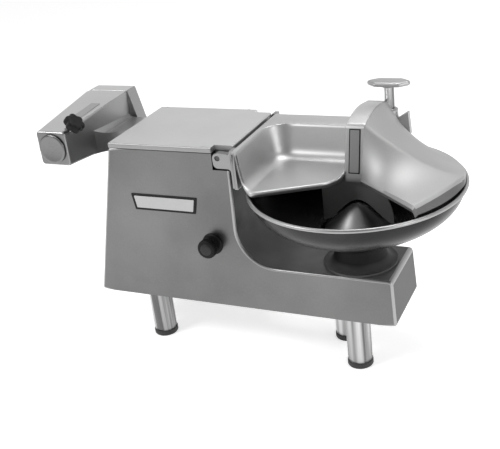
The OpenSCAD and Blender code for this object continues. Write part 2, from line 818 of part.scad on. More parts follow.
module hinge_arm(y) {
    difference() {
        union() {
            along_y(y, y + ear_t) polygon(arm_outline);
            rod_y(y, y + ear_t, barrel_r, hinge_x, hinge_z);
        }
        rod_y(y - 1, y + ear_t + 1, pin_r + fit, hinge_x, hinge_z);
        translate([hinge_x - 30, y - 1, hinge_z - 1.5]) cube([30, ear_t + 2, 3]);
    }
}

module hinge_arms() {
    color("gainsboro") {
        hinge_arm(ear_front);
        hinge_arm(ear_back);
    }
}

// A plate under the cover that closes the way from the front to the knives
plate_y = 8;
plate_t = 4;
plate_left = -80;
plate_arc = [[-30, rim - 84], 106];
plate_top = tray_z - cover_t - gap;

module guard_plate() {
    edge = [for (i = [0:16]) let (x = mix(plate_left, plate_arc[0][0] + plate_arc[1], i / 16))
            [x, bowl_top(norm([x, plate_y])) + 6]];
    color("gray")
    along_y(plate_y, plate_y + plate_t)
        polygon(concat(edge, arc(plate_arc[0], plate_arc[1], 4, 56, 8),
                       [[-hump_half - 1, hump_foot - gap], [-hump_half - 1, plate_top],
                        [plate_left, plate_top]]));
}

// A bare plate with plain marks on the hump's front
module on_hump(z) {
    run = (shoulder_y - lip_front) / (shoulder_z - tray_z + 2);
    translate([0, lip_front + (z - tray_z + 2) * run, z]) rotate([90 - atan(run), 0, 0]) children();
}

module cover_label_plate() {
    color("lightgray") on_hump(band - 21) translate([-12, -46, 0]) cube([24, 92, 1.2]);
}

module stem_bushing() {
    color("goldenrod")
    translate([stem_x, stem_y, boss_top - 60]) difference() {
        cylinder(h = 62, r = bushing_r);
        translate([0, 0, -1]) cylinder(h = 65, r = stem_r + fit);
    }
}

knob_z = rim + knob_lift;

module lock_stem() {
    color("silver")
    translate([stem_x, stem_y, boss_top - 74]) {
        cylinder(h = knob_z - boss_top + 76, r = stem_r);
        translate([0, 0, 5]) rotate([0, 90, 0]) cylinder(h = 2 * stem_r + 4, r = 3.5, center = true);
    }
}

// The lock knob is an oblong handle, seen from above as a long hexagon with rounded ends
knob_half_d = knob_r * 0.45;
knob_t = 11;

module knob_outline(inset) {
    tip = knob_r * 0.2;
    hull() {
        for (side = [-1, 1]) translate([side * (knob_r - tip), 0]) circle(r = tip - inset, $fn = 24);
        for (x = [-1, 1]) for (y = [-1, 1])
            translate([x * knob_r * 0.5, y * (knob_half_d - 6)]) circle(r = 6 - inset, $fn = 16);
    }
}

module lock_knob() {
    color("gainsboro")
    translate([stem_x, stem_y, knob_z]) difference() {
        union() {
            cylinder(h = 4, r = stem_r + 5);
            translate([0, 0, 3]) linear_extrude(2 + eps) knob_outline(2.5);
            translate([0, 0, 5]) linear_extrude(knob_t - 4 + eps) knob_outline(0);
            translate([0, 0, knob_t + 1]) linear_extrude(2.5) knob_outline(2.5);
        }
        translate([0, 0, -1]) cylinder(h = 3 + fit, r = stem_r + fit);
    }
}

// Attachment hub at the rear left
hub_drive_y = hub_front + 190;
hub_gear_r = 14;
cross_z = hub_axis_z - 2 * hub_gear_r;
cross_r = 8;
hub_rise = 15;
hub_screw_y = hub_front + 26;
hub_slab_t = 38;
hub_slope = hub_rise / (hub_l - 12);

module hub_front_square(r) {
    hull() for (x = [-1, 1]) for (z = [-1, 1])
        translate([-hub_x + x * (hub_w / 2 - r), hub_axis_z + z * (hub_w / 2 + 1 - r)]) circle(r = r, $fn = 24);
}

// The neck flares from the casing's right side onto the housing, hollow from above and from the front
neck_top = top_z - 4;
neck_front = hub_drive_y - hub_gear_r - 19;
neck_flare = [34, 90];

module hub_neck() {
    wall_x = -hub_x + hub_w / 2;
    far_x = x_left + 90;
    intersection() {
        along_y(hub_front, hub_back)
            polygon(concat([[-hub_x, hub_axis_z - 62], [far_x, hub_axis_z - 70], [far_x, neck_top]],
                           arc([wall_x, neck_top] + neck_flare[0] * [1, 1], neck_flare[0], 270, 180, 8),
                           [[-hub_x, neck_top + neck_flare[0]]]));
        translate([0, 0, hub_axis_z - 80]) linear_extrude(160)
            polygon(concat([[-hub_x, neck_front - neck_flare[1]]],
                           arc([wall_x - 2, neck_front] + neck_flare[1] * [1, -1], neck_flare[1], 180, 90, 8),
                           [[far_x, neck_front], [far_x, hub_back - 10], [-hub_x, hub_back - 10]]));
    }
}

// The casing tapers from its square front to the slab
module hub_casing() {
    color("silver")
    difference() {
        union() {
            hull() {
                along_y(hub_front, hub_front + 4) hub_front_square(9);
                translate([-hub_far + 3, hub_back - 8, hub_axis_z - 62]) cube([hub_w + 32, 8, 118]);
            }
            hub_neck();
        }
        housing_block(0);
        rod_y(hub_front - 1, hub_front + socket_d, socket_r, -hub_x, hub_axis_z);
        rod_y(hub_front + socket_d - 1, hub_drive_y + 30, hub_gear_r + 8 + fit, -hub_x, hub_axis_z);
        rod_x(-hub_x - 24, x_left + 80, hub_gear_r + 8, hub_drive_y, cross_z);
        translate([-hub_x, hub_screw_y, hub_axis_z]) rotate([0, 45, 0]) cylinder(h = 100, r = 5 + fit);
        translate([-hub_x, hub_screw_y, hub_axis_z]) rotate([0, 45, 0])
            translate([0, 0, hub_w * 0.62]) cylinder(h = 60, r = 12);
    }
}

module hub_bushing() {
    color("goldenrod")
    difference() {
        rod_y(hub_front + socket_d + 26, hub_front + socket_d + 56, hub_gear_r + 8, -hub_x, hub_axis_z);
        rod_y(hub_front + socket_d, hub_front + socket_d + 90, 10 + fit, -hub_x, hub_axis_z);
    }
}

module hub_spindle() {
    color("lightgray") {
        difference() {
            rod_y(hub_front + socket_d + 1, hub_front + socket_d + 25, socket_r, -hub_x, hub_axis_z);
            translate([-hub_x - 6.5, hub_front + socket_d, hub_axis_z - 6.5]) cube([13, 20, 13]);
        }
        rod_y(hub_front + socket_d + 25, hub_drive_y + 22, 10, -hub_x, hub_axis_z);
        rod_y(hub_drive_y - 12, hub_drive_y + 12, hub_gear_r - gap, -hub_x, hub_axis_z);
    }
}

module hub_cross_shaft() {
    color("darkgray") {
        rod_x(-hub_x - 20, x_left + 78, cross_r, hub_drive_y, cross_z);
        rod_x(-hub_x - 12, -hub_x + 12, hub_gear_r - gap, hub_drive_y, cross_z);
    }
}

module hub_rear_cover() {
    color("silver")
    along_y(hub_back, hub_back + hub_slab_t)
        translate([-hub_far, hub_axis_z])
            polygon([[0, -84], [0, 48], [8, 57], [112, 57], [119, 50], [150, -84]]);
}

module hub_cover() {
    color("gainsboro")
    rotate_cover() union() {
        translate([0, 0, gap]) cylinder(h = 4, r = hub_w / 2 - 5);
        translate([0, 0, gap + 4]) cylinder(h = 1.5, r1 = hub_w / 2 - 5, r2 = hub_w / 2 - 7);
    }
}

module rotate_cover() {
    translate([-hub_x, hub_front, hub_axis_z]) rotate([90, 0, 0]) children();
}

screw_r = 5;
screw_base = socket_r + 2;
screw_knob = hub_w * 0.62 + 17;

// The thumb screw points at 45 degrees through the casing's upper right edge
module thumb_screw() {
    color("black")
    translate([-hub_x, hub_screw_y, hub_axis_z]) rotate([0, 45, 0]) {
        translate([0, 0, screw_base]) cylinder(h = screw_knob - screw_base + 4, r = screw_r);
        difference() {
            translate([0, 0, screw_knob]) cylinder(h = 20, r = 24);
            for (i = [0:5]) rotate([0, 0, i * 60]) translate([31, 0, screw_knob - 1]) cylinder(h = 22, r = 11);
        }
    }
}

module hub_label_plate() {
    start = 62;
    color("lightgray")
    translate([-hub_x + 4, hub_front + start, hub_axis_z + hub_w / 2 + 1.2 + (start - 4) * hub_slope])
        rotate([atan(hub_slope), 0, 0]) cube([26, 110, 1.2]);
}

module lid_screws() {
    color("dimgray")
    for (p = lid_spots) translate([p[0], p[1], lid_z]) cylinder(h = 2.4, r1 = 5, r2 = 4);
}

module bottom_screws() {
    color("dimgray")
    for (x = [x_left + 60, x_right - 40, arm_reach - 30]) for (y = [y_front + 24, arm_d / 2 - 24])
        translate([x, y, z0 - 2.4]) cylinder(h = 2.4, r1 = 4, r2 = 5);
}

place() base_casting();
place() housing_lid();
place() bottom_cover();
place() leg_tubes();
place() foot_tips();
place() badge_plate();
place() switch_bezel();
place() switch_knob();
place() hinge_pins();
place() bowl_pedestal();
place() bowl_bearing();
place() bowl();
place() bowl_spindle();
place() worm_wheel();
place() worm_shaft();
place() worm_bearings();
place() motor_stator();
place() motor_rotor();
place() motor_pulley();
place() drive_belt();
place() knife_pulley();
place() shaft_bearings();
place() knife_shaft();
place() knife_hub();
place() knife_nut();
place() inner_knife();
place() outer_knife();
place() bowl_cover();
place() hinge_arms();
place() guard_plate();
place() cover_label_plate();
place() stem_bushing();
place() lock_stem();
place() lock_knob();
place() hub_casing();
place() hub_rear_cover();
place() hub_bushing();
place() hub_spindle();
place() hub_cross_shaft();
place() hub_cover();
place() thumb_screw();
place() hub_label_plate();
place() lid_screws();
place() bottom_screws();
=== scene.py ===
# The finished look of the bowl-type food cutter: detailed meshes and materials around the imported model.
# Sizes below are millimetres, with the bowl's axis at x = 0 and y = 0 and the table at z = 0,
# as in the part's own source. point() turns them into metres in the shared frame.

import math

import bmesh
import bpy
from mathutils import Matrix, Vector

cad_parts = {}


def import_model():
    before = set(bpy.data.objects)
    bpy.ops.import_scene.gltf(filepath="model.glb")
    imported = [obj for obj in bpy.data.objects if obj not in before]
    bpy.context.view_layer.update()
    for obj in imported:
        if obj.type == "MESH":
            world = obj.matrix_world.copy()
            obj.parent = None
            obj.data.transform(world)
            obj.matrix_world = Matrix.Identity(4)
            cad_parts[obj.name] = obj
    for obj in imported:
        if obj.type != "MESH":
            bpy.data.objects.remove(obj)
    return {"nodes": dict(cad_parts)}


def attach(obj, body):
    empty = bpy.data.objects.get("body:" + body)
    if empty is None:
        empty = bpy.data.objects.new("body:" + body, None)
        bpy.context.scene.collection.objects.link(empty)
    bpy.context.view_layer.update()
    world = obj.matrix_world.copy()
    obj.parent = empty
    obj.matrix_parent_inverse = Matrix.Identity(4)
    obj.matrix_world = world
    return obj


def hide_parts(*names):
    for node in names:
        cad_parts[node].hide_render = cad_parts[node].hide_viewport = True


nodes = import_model()["nodes"]
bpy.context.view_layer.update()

BOWL_R = 228.6
HUB_FAR = 764.0
PLACE_X = (HUB_FAR - BOWL_R) / 2
BASE_Z = 125.0


def point(x, y, z):
    """Millimetres in the source's frame to metres in the shared frame."""
    return Vector((x + PLACE_X, y, z)) / 1000


# Camera
PHOTO_W = 500
FOCAL_PX = 891.9
SENSOR = 36.0
CAM_AZIMUTH = math.radians(27.34)
CAM_ELEVATION = math.radians(25.19)
CAM_ROLL = math.radians(-7.24)
CAM_AT = (575.58, -1609.17, 1017.41 + BASE_Z)


def add_object(name, data):
    """A new object in the scene that shows a mesh, a light or a camera."""
    piece = bpy.data.objects.new(name, data)
    bpy.context.scene.collection.objects.link(piece)
    return piece


def add_camera():
    back = Vector((math.sin(CAM_AZIMUTH) * math.cos(CAM_ELEVATION),
                   -math.cos(CAM_AZIMUTH) * math.cos(CAM_ELEVATION),
                   math.sin(CAM_ELEVATION)))
    right = Vector((0, 0, 1)).cross(back).normalized()
    up = back.cross(right)
    across = right * math.cos(CAM_ROLL) + up * math.sin(CAM_ROLL)
    above = up * math.cos(CAM_ROLL) - right * math.sin(CAM_ROLL)
    data = bpy.data.cameras.new("photo_camera")
    data.sensor_width = SENSOR
    data.sensor_fit = "HORIZONTAL"
    data.lens = FOCAL_PX * SENSOR / PHOTO_W
    data.clip_end = 50
    camera = add_object("photo_camera", data)
    turn = Matrix((across, above, back)).transposed().to_4x4()
    camera.matrix_world = Matrix.Translation(point(*CAM_AT)) @ turn
    bpy.context.scene.camera = camera


add_camera()
bpy.context.scene.view_settings.view_transform = "Standard"


# Light and floor
CEILING = 0.45
CEILING_SPAN = (0.25, 0.85)
ROOM = 0.35
ROOM_SPAN = (0.1, -0.75)
WORLD_LEVEL = 0.8
FLOOR_TONE = 0.85
FLOOR_LIFT = 0.62
FLOOR_HALF = 6.0


def grey(value):
    return (value, value, value, 1)


def empty_tree(owner):
    """The owner's shader nodes, with the ones it came with taken out."""
    owner.use_nodes = True
    owner.node_tree.nodes.clear()
    return owner.node_tree


def put(tree, socket, value):
    """Gives a socket a number or a colour, or links another node's output to it."""
    if isinstance(value, bpy.types.NodeSocket):
        tree.links.new(value, socket)
    else:
        socket.default_value = value


def add_node(tree, kind, *first, **named):
    """A shader node, with values or outputs for its first inputs and for inputs by name."""
    node = tree.nodes.new("ShaderNode" + kind)
    for socket, value in zip(node.inputs, first):
        put(tree, socket, value)
    for name, value in named.items():
        put(tree, node.inputs[name.replace("_", " ")], value)
    return node


def math_node(tree, operation, *values):
    node = add_node(tree, "Math", *values)
    node.operation = operation
    return node.outputs[0]


def map_range(tree, value, source, target, interpolation="LINEAR"):
    """Maps a value from the source pair of numbers to the target pair."""
    node = add_node(tree, "MapRange", Value=value, From_Min=source[0], From_Max=source[1],
                    To_Min=target[0], To_Max=target[1])
    node.interpolation_type = interpolation
    return node.outputs[0]


def place_axes(tree, kind):
    """The X, Y and Z outputs of a place, of a kind such as Object."""
    return add_node(tree, "SeparateXYZ", add_node(tree, "TexCoord").outputs[kind]).outputs


def seen_directly(tree):
    """1 for rays from the camera and for what metal and glass mirror or let through."""
    rays = add_node(tree, "LightPath").outputs
    mirrored = math_node(tree, "MAXIMUM", rays["Is Glossy Ray"], rays["Is Transmission Ray"])
    return math_node(tree, "MAXIMUM", rays["Is Camera Ray"], mirrored)


def add_world():
    """A white studio: its back wall is white, and its ceiling and the room behind the camera are darker."""
    world = bpy.data.worlds.new("studio")
    bpy.context.scene.world = world
    tree = empty_tree(world)
    axes = place_axes(tree, "Generated")
    upper = map_range(tree, axes["Z"], CEILING_SPAN, (1.0, CEILING), "SMOOTHSTEP")
    front = map_range(tree, axes["Y"], ROOM_SPAN, (1.0, ROOM), "SMOOTHSTEP")
    strength = map_range(tree, seen_directly(tree), (0.0, 1.0), (WORLD_LEVEL, 1.0))
    light = add_node(tree, "Background", math_node(tree, "MULTIPLY", upper, front), Strength=strength)
    add_node(tree, "OutputWorld", light.outputs[0])


def add_area(name, at, look, size, power):
    """A rectangular lamp that looks at a point, with sizes in metres and its power in watts."""
    data = bpy.data.lights.new(name, "AREA")
    data.shape = "RECTANGLE"
    data.size = size[0]
    data.size_y = size[1]
    data.energy = power
    lamp = add_object(name, data)
    lamp.location = at
    lamp.rotation_euler = (Vector(look) - Vector(at)).to_track_quat("-Z", "Y").to_euler()


add_world()
add_area("key", (-1.5, -1.6, 2.2), (0, 0, 0.3), (1.0, 0.7), 34)
add_area("side", (2.2, -0.9, 1.2), (0.2, 0, 0.3), (0.4, 1.4), 12)
add_area("top", (0.3, 0.6, 2.4), (0.1, 0, 0.3), (1.4, 0.5), 20)


def floor_material():
    """Pale floor: it takes the object's shadow, and what is seen directly is lifted to white."""
    material = bpy.data.materials.new("floor")
    tree = empty_tree(material)
    plain = add_node(tree, "BsdfDiffuse", grey(FLOOR_TONE))
    lift = add_node(tree, "Emission", grey(FLOOR_LIFT), Strength=seen_directly(tree))
    both = add_node(tree, "AddShader", plain.outputs[0], lift.outputs[0])
    add_node(tree, "OutputMaterial", both.outputs[0])
    return material


def add_floor():
    mesh = bpy.data.meshes.new("floor")
    corners = [(x * FLOOR_HALF, y * FLOOR_HALF, 0) for x, y in ((-1, -1), (1, -1), (1, 1), (-1, 1))]
    mesh.from_pydata(corners, [], [(0, 1, 2, 3)])
    mesh.materials.append(floor_material())
    add_object("floor", mesh)


add_floor()


# Sizes that follow the part's source
HOUSING_W = 378.0
HOUSING_H = 360.0
HOUSING_D = 285.0
LEFT_LEAN = 0.222
FRONT_LEAN = 0.05
END_LEAN = 0.056
ARM_H = 104.0
ARM_D = 170.0
ARM_REACH = 98.0
END_X = ARM_REACH - END_LEAN * ARM_H
CORNER_R = 88.0
LEG_R = 27.0
LEG_SEAT = 30.0
BOSS_R = 32.0
TIP_H = 14.0
X_RIGHT = -254.0
X_LEFT = X_RIGHT - HOUSING_W
Y_FRONT = -ARM_D / 2
Y_BACK = Y_FRONT + HOUSING_D
DECK_Z = BASE_Z + ARM_H
TOP_Z = BASE_Z + HOUSING_H
LID_Z = TOP_Z + 13
RIM_Z = TOP_Z - 76
TRAY_Z = RIM_Z + 18
SHAFT_Y = 118.0
SHAFT_Z = RIM_Z + 17
HINGE_X = X_RIGHT - 26
HINGE_Z = TOP_Z - 10
SHOULDER_Z = LID_Z + 31
EDGE_Z = RIM_Z + 5.5
WALL = 9.0
HUB_X = -702.0
HUB_Z = TOP_Z - 8
HUB_FRONT = Y_FRONT + 16
HUB_W = 80.0
HUB_L = 258.0
REACH = 200.0
FIT = 0.1
LEGS = ((-499, Y_FRONT + 43), (2, Y_FRONT + 32), (-499, Y_BACK - 50), (-60, ARM_D / 2 - 40))


# Flat outlines
def mix(a, b, t):
    return a + (b - a) * t


def spread(a, b, count):
    """Places after a, up to b, at equal steps."""
    return [mix(a, b, k / count) for k in range(1, count + 1)]


def arc(centre, radius, start, end, steps):
    """Points of an arc, with angles in degrees."""
    turn = (math.radians(start + (end - start) * i / steps) for i in range(steps + 1))
    return [(centre[0] + radius * math.cos(a), centre[1] + radius * math.sin(a)) for a in turn]


def rounded(corners, steps=5):
    """A closed outline from (u, v, radius) corners, each turned into an arc."""
    out = []
    count = len(corners)
    for i, (u, v, radius) in enumerate(corners):
        here = Vector((u, v))
        before = (Vector(corners[i - 1][:2]) - here).normalized()
        after = (Vector(corners[(i + 1) % count][:2]) - here).normalized()
        if radius == 0:
            out.append((u, v))
            continue
        half = before.angle(after) / 2
        reach = radius / math.tan(half)
        centre = here + (before + after).normalized() * (radius / math.sin(half))
        first = here + before * reach - centre
        last = here + after * reach - centre
        swing = first.angle_signed(last)
        for k in range(steps + 1):
            a = -swing * k / steps
            out.append((centre.x + first.x * math.cos(a) - first.y * math.sin(a),
                        centre.y + first.x * math.sin(a) + first.y * math.cos(a)))
    return out


def area(outline):
    total = 0.0
    for i, a in enumerate(outline):
        b = outline[i - 1]
        total += b[0] * a[1] - a[0] * b[1]
    return total / 2


def inset(outline, depths):
    """The outline with each edge moved in by its own depth; edge i runs from point i to i + 1."""
    side = 1 if area(outline) > 0 else -1
    normals = []
    for a, b in zip(outline, outline[1:] + outline[:1]):
        run = Vector(b) - Vector(a)
        if run.length < 1e-6:
            normals.append(normals[-1] if normals else Vector((0, 0)))
            continue
        run.normalize()
        normals.append(Vector((-run.y, run.x)) * side)
    out = []
    for i, p in enumerate(outline):
        n1 = normals[i - 1]
        n2 = normals[i]
        det = n1.x * n2.y - n1.y * n2.x
        if abs(det) < 1e-4:
            out.append((p[0] + n2.x * depths[i], p[1] + n2.y * depths[i]))
            continue
        c1 = p[0] * n1.x + p[1] * n1.y + depths[i - 1]
        c2 = p[0] * n2.x + p[1] * n2.y + depths[i]
        out.append(((c1 * n2.y - c2 * n1.y) / det, (n1.x * c2 - n2.x * c1) / det))
    return out


# Meshes
MERGE = 2e-6


def raw_object(name, verts, faces):
    """An object from points and faces, with doubled points merged and its normals turned out."""
    mesh = bpy.data.meshes.new(name)
    mesh.from_pydata(verts, [], faces)
    work = bmesh.new()
    work.from_mesh(mesh)
    bmesh.ops.remove_doubles(work, verts=work.verts, dist=MERGE)
    bmesh.ops.dissolve_degenerate(work, edges=work.edges, dist=MERGE)
    bmesh.ops.recalc_face_normals(work, faces=work.faces)
    work.to_mesh(mesh)
    work.free()
    return add_object(name, mesh)


def rings_object(name, rings, caps=True):
    """A body through rings of points, each ring closed, with flat ends where it has caps."""
    count = len(rings[0])
    last = (len(rings) - 1) * count
    faces = []
    for first in range(0, last, count):
        for i in range(count):
            j = (i + 1) % count
            faces.append((first + i, first + j, first + count + j, first + count + i))
    if caps:
        faces += [tuple(range(count)), tuple(range(last, last + count))]
    return raw_object(name, [p for ring in rings for p in ring], faces)


def edge_rings(outline, shares, w, way, radius, place, steps):
    """Rings of a rounded edge at w, the near end of the piece for way = 1 and the far end for -1."""
    rings = []
    for k in range(steps + 1):
        a = math.radians(90 * k / max(1, steps))
        flat = inset(outline, [radius * (1 - math.sin(a)) * s for s in shares])
        rings.append([place(u, v, w + way * radius * (1 - math.cos(a))) for u, v in flat])
    return rings[::way]


def prism(name, outline, lo, hi, radius, place, steps=4, soft=None):
    """A plate or bar with rounded edges: the outline is swept from lo to hi, and place(u, v, w) sets its
    points. soft gives, for each edge, the share of the rounding that it takes."""
    shares = soft or [1.0] * len(outline)
    rings = edge_rings(outline, shares, lo, 1, radius, place, steps)
    rings += edge_rings(outline, shares, hi, -1, radius, place, steps)
    return rings_object(name, rings)


def along_y(u, v, w):
    return point(u, w, v)


def along_z(u, v, w):
    return point(u, v, w)


def along_x(u, v, w):
    return point(w, u, v)


def box_object(name, lo, hi):
    rings = [[point(x, y, z) for x, y in ((lo[0], lo[1]), (hi[0], lo[1]), (hi[0], hi[1]), (lo[0], hi[1]))]
             for z in (lo[2], hi[2])]
    return rings_object(name, rings)


def circle(centre, axis, radius, segments):
    """Points round an axis, from millimetres in the source's frame."""
    side = axis.orthogonal().normalized()
    if abs(axis.z) > 0.99:
        side = Vector((1, 0, 0))
    other = axis.cross(side)
    turns = [2 * math.pi * i / segments for i in range(segments)]
    return [point(*(centre + (side * math.cos(t) + other * math.sin(t)) * radius)) for t in turns]


def rod(start, end, radius, segments=48):
    """A plain cylinder between two points in millimetres, used as a cutter."""
    ends = [Vector(start), Vector(end)]
    axis = (ends[1] - ends[0]).normalized()
    return rings_object("cut", [circle(at, axis, radius, segments) for at in ends])


def lathe(name, profile, base, axis=(0, 0, 1), segments=96):
    """A turned piece: profile is (radius, height) along the axis from base, in millimetres."""
    axis = Vector(axis).normalized()
    rings = [circle(Vector(base) + axis * height, axis, radius, segments) for radius, height in profile]
    return rings_object(name, rings, caps=False)


def apply_all(piece):
    """Turns the piece's modifiers into its mesh."""
    graph = bpy.context.evaluated_depsgraph_get()
    mesh = bpy.data.meshes.new_from_object(piece.evaluated_get(graph))
    piece.modifiers.clear()
    piece.data = mesh


def combine(piece, other, how):
    change = piece.modifiers.new("combine", "BOOLEAN")
    change.operation = how
    change.solver = "EXACT"
    change.object = other
    apply_all(piece)
    bpy.data.objects.remove(other)
    return piece


def cut(piece, *others):
    for other in others:
        combine(piece, other, "DIFFERENCE")
    return piece


def drill(piece, start, end, radius, segments=48):
    return cut(piece, rod(start, end, radius, segments))


def shade(piece, angle, weigh):
    for polygon in piece.data.polygons:
        polygon.use_smooth = True
    piece.data.set_sharp_from_angle(angle=math.radians(angle))
    if weigh:
        normals = piece.modifiers.new("weighted", "WEIGHTED_NORMAL")
        normals.keep_sharp = True


def add_bevel(piece, width, segments, angle):
    """Rounds the edges that turn by more than the angle; the width is in millimetres."""
    edges = piece.modifiers.new("edges", "BEVEL")
    edges.width = width / 1000
    edges.segments = segments
    edges.limit_method = "ANGLE"
    edges.angle_limit = math.radians(angle)


def thicken(piece, thickness):
    """Gives a sheet its thickness in millimetres, on the side that its normals turn away from."""
    wall = piece.modifiers.new("wall", "SOLIDIFY")
    wall.thickness = thickness / 1000
    wall.offset = -1
    wall.use_even_offset = True
    apply_all(piece)


def finish(piece, material, body, slot, *replaced, angle=32, weigh=True):
    """Shades the piece, sharp past the angle, and sets its material, body and replaced nodes. The slot is
    not used.
    """
    if not piece.data.polygons:
        raise ValueError(piece.name + " has no faces")
    shade(piece, angle, weigh)
    piece.data.materials.clear()
    piece.data.materials.append(material)
    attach(piece, body)
    if replaced:
        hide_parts(*replaced)
    return piece


def only_first(number, node):
    """Of repeated pieces, the first one stands for the node."""
    return [node] if number == 0 else []


def paint_faces(piece, material, faces):
    piece.data.materials.append(material)
    index = len(piece.data.materials) - 1
    for number in faces:
        piece.data.polygons[number].material_index = index


def repaint(piece, material, wanted):
    """Gives a material to the faces whose centre, in the source's millimetres, and normal pass the test."""
    start = Vector((PLACE_X, 0, 0))
    faces = piece.data.polygons
    paint_faces(piece, material, [f.index for f in faces if wanted(f.center * 1000 - start, f.normal)])


def repaint_edges(piece, material, width):
    """Gives a material to the narrow faces of the rounded edges, up to a width in millimetres, for a painted
    highlight along them.
    """
    corners = piece.data.vertices
    narrow = []
    for face in piece.data.polygons:
        ring = list(face.vertices)
        sides = [(corners[a].co - corners[b].co).length * 1000 for a, b in zip(ring, ring[1:] + ring[:1])]
        if min(sides) < width and face.area * 1e6 < width * max(sides) * 1.3:
            narrow.append(face.index)
    paint_faces(piece, material, narrow)


# Materials
GRAIN_SHARE = 0.35
SMEAR_SHARE = 0.2
# Metallic and specular levels of the painted-shade material.
SHADE_METALLIC = 0.35
SHADE_SHINE = 0.25


def new_material(name, metallic=0.0, shine=0.5):
    material = bpy.data.materials.new(name)
    tree = empty_tree(material)
    shader = add_node(tree, "BsdfPrincipled", Metallic=metallic, Specular_IOR_Level=shine)
    add_node(tree, "OutputMaterial", shader.outputs[0])
    return material, tree, shader


def noise(tree, scale, stretch=(1, 1, 1), detail=4.0):
    """Noise in the piece's own coordinates; a small stretch along an axis draws lines along it."""
    place = add_node(tree, "TexCoord").outputs["Object"]
    scaled = add_node(tree, "Mapping", place, Scale=stretch)
    return add_node(tree, "TexNoise", scaled.outputs[0], Scale=scale, Detail=detail).outputs["Fac"]


def vary(tree, socket, value, low, high, start=0.3, end=0.7):
    """Lets a socket of a shader run from low to high while a value goes from start to end."""
    node = add_node(tree, "ValToRGB", value)
    for stop, at, tone in zip(node.color_ramp.elements, (start, end), (low, high)):
        stop.position = at
        stop.color = grey(tone)
    put(tree, socket, node.outputs[0])


def add_bump(tree, shader, height, strength, distance=0.0004):
    bump = add_node(tree, "Bump", Strength=strength, Distance=distance, Height=height)
    put(tree, shader.inputs["Normal"], bump.outputs[0])


def metal(name, tone, swing, roughness, grain_scale=300, stretch=(1, 1, 1), bump=0.03, cloud=6.0):
    """Bare metal: clouds of tone, rougher and smoother patches and a fine grain."""
    material, tree, shader = new_material(name, metallic=1.0)
    grain = noise(tree, grain_scale, stretch, detail=3)
    mixed = math_node(tree, "MULTIPLY_ADD", grain, GRAIN_SHARE, noise(tree, cloud, detail=5))
    vary(tree, shader.inputs["Base Color"], mixed, tone - swing, tone + swing, 0.45, 0.95)
    vary(tree, shader.inputs["Roughness"], mixed, roughness - 0.06, roughness + 0.06, 0.4, 0.95)
    add_bump(tree, shader, grain, bump)
    return material


def shade_graded_metal(name, low, high, roughness):
    """Metal with painted shade that gets darker with height, between two (height, tone) pairs in
    millimetres.
    """
    material, tree, shader = new_material(name, SHADE_METALLIC, SHADE_SHINE)
    heights = (low[0] / 1000, high[0] / 1000)
    height = map_range(tree, place_axes(tree, "Object")["Z"], heights, (0.0, 1.0))
    smeared = math_node(tree, "MULTIPLY_ADD", noise(tree, 9), SMEAR_SHARE, height)
    vary(tree, shader.inputs["Base Color"], smeared, low[1], high[1], 0.1, 1.0)
    vary(tree, shader.inputs["Roughness"], noise(tree, 30), roughness - 0.05, roughness + 0.05)
    add_bump(tree, shader, noise(tree, 260, detail=3), 0.05)
    return material


def reflection_banded_tube(name, low, high, roughness):
    """Polished tube with light and dark bands along it: painted reflection streaks."""
    material, tree, shader = new_material(name, metallic=1.0)
    bands = noise(tree, 52, (1, 1, 0.02), detail=3)
    vary(tree, shader.inputs["Base Color"], bands, low, high, 0.38, 0.62)
    vary(tree, shader.inputs["Roughness"], bands, roughness, roughness + 0.12)
    add_bump(tree, shader, noise(tree, 400, (1, 1, 0.1), detail=2), 0.03)
    return material


def plastic(name, tone, roughness, speckle=0.006, shine=0.5):
    material, tree, shader = new_material(name, shine=shine)
    grain = noise(tree, 220, detail=2)
    vary(tree, shader.inputs["Base Color"], grain, tone - speckle, tone + speckle)
    vary(tree, shader.inputs["Roughness"], noise(tree, 18), roughness - 0.05, roughness + 0.07)
    add_bump(tree, shader, grain, 0.12, 0.0002)
    return material


# Painted shade: the deck and the hollow wall under the bowl get darker upwards, towards the bowl and its
# cover.
shaded_cast = shade_graded_metal("cast_painted_shade", (DECK_Z, 0.14), (DECK_Z + 100, 0.010), 0.46)
# Painted shade: the bowl's stand gets darker upwards, towards the bowl above it.
stand_shade_metal = shade_graded_metal("stand_painted_shade", (DECK_Z + 2, 0.10), (DECK_Z + 20, 0.012), 0.60)
cast = metal("cast_aluminium", 0.185, 0.05, 0.36, 260, (1, 1, 6), 0.05, 4.0)
lid_metal = metal("lid_brushed", 0.60, 0.04, 0.42, 200, (0.5, 9, 9), 0.05)
# Painted shade: the bell's skirt takes a darker copy of the bell's metal.
skirt_shade_metal = metal("bell_skirt_shade", 0.20, 0.03, 0.42, bump=0.02, cloud=4.0)
bell_metal = metal("bell_satin", 0.48, 0.04, 0.60, bump=0.02, cloud=4.0)
cover_metal = metal("cover_polished", 0.52, 0.04, 0.46, bump=0.015, cloud=4.0)
# The hinge arms' metal, also used as painted shade on the lid's front, the tray's left front and the hub's
# right sides.
arm_and_shade_metal = metal("hinge_arm", 0.33, 0.03, 0.45, bump=0.05)
# Painted highlight along the casting's rounded edges and the bowl's rim.
edge_highlight_metal = metal("cast_edge_highlight", 0.40, 0.05, 0.40, 260, (1, 1, 6))
guard_metal = metal("guard_steel", 0.38, 0.02, 0.55, bump=0.05)
# Painted light: the cone in the middle of the bowl takes a lighter copy of the bowl's steel.
cone_light_metal = metal("bowl_cone_painted_light", 0.36, 0.05, 0.40, 220, (1, 1, 14))
bowl_metal = metal("bowl_stainless", 0.05, 0.02, 0.29, 220, (1, 1, 14))
hub_metal = metal("hub_cast", 0.56, 0.05, 0.36, 200, (9, 1, 9), 0.06)
# The hub disc's metal, also used as painted shade on the hub casing's front.
disc_metal = metal("hub_disc", 0.20, 0.03, 0.30, 260)
strip_metal = metal("hub_strip", 0.42, 0.02, 0.45, 260)
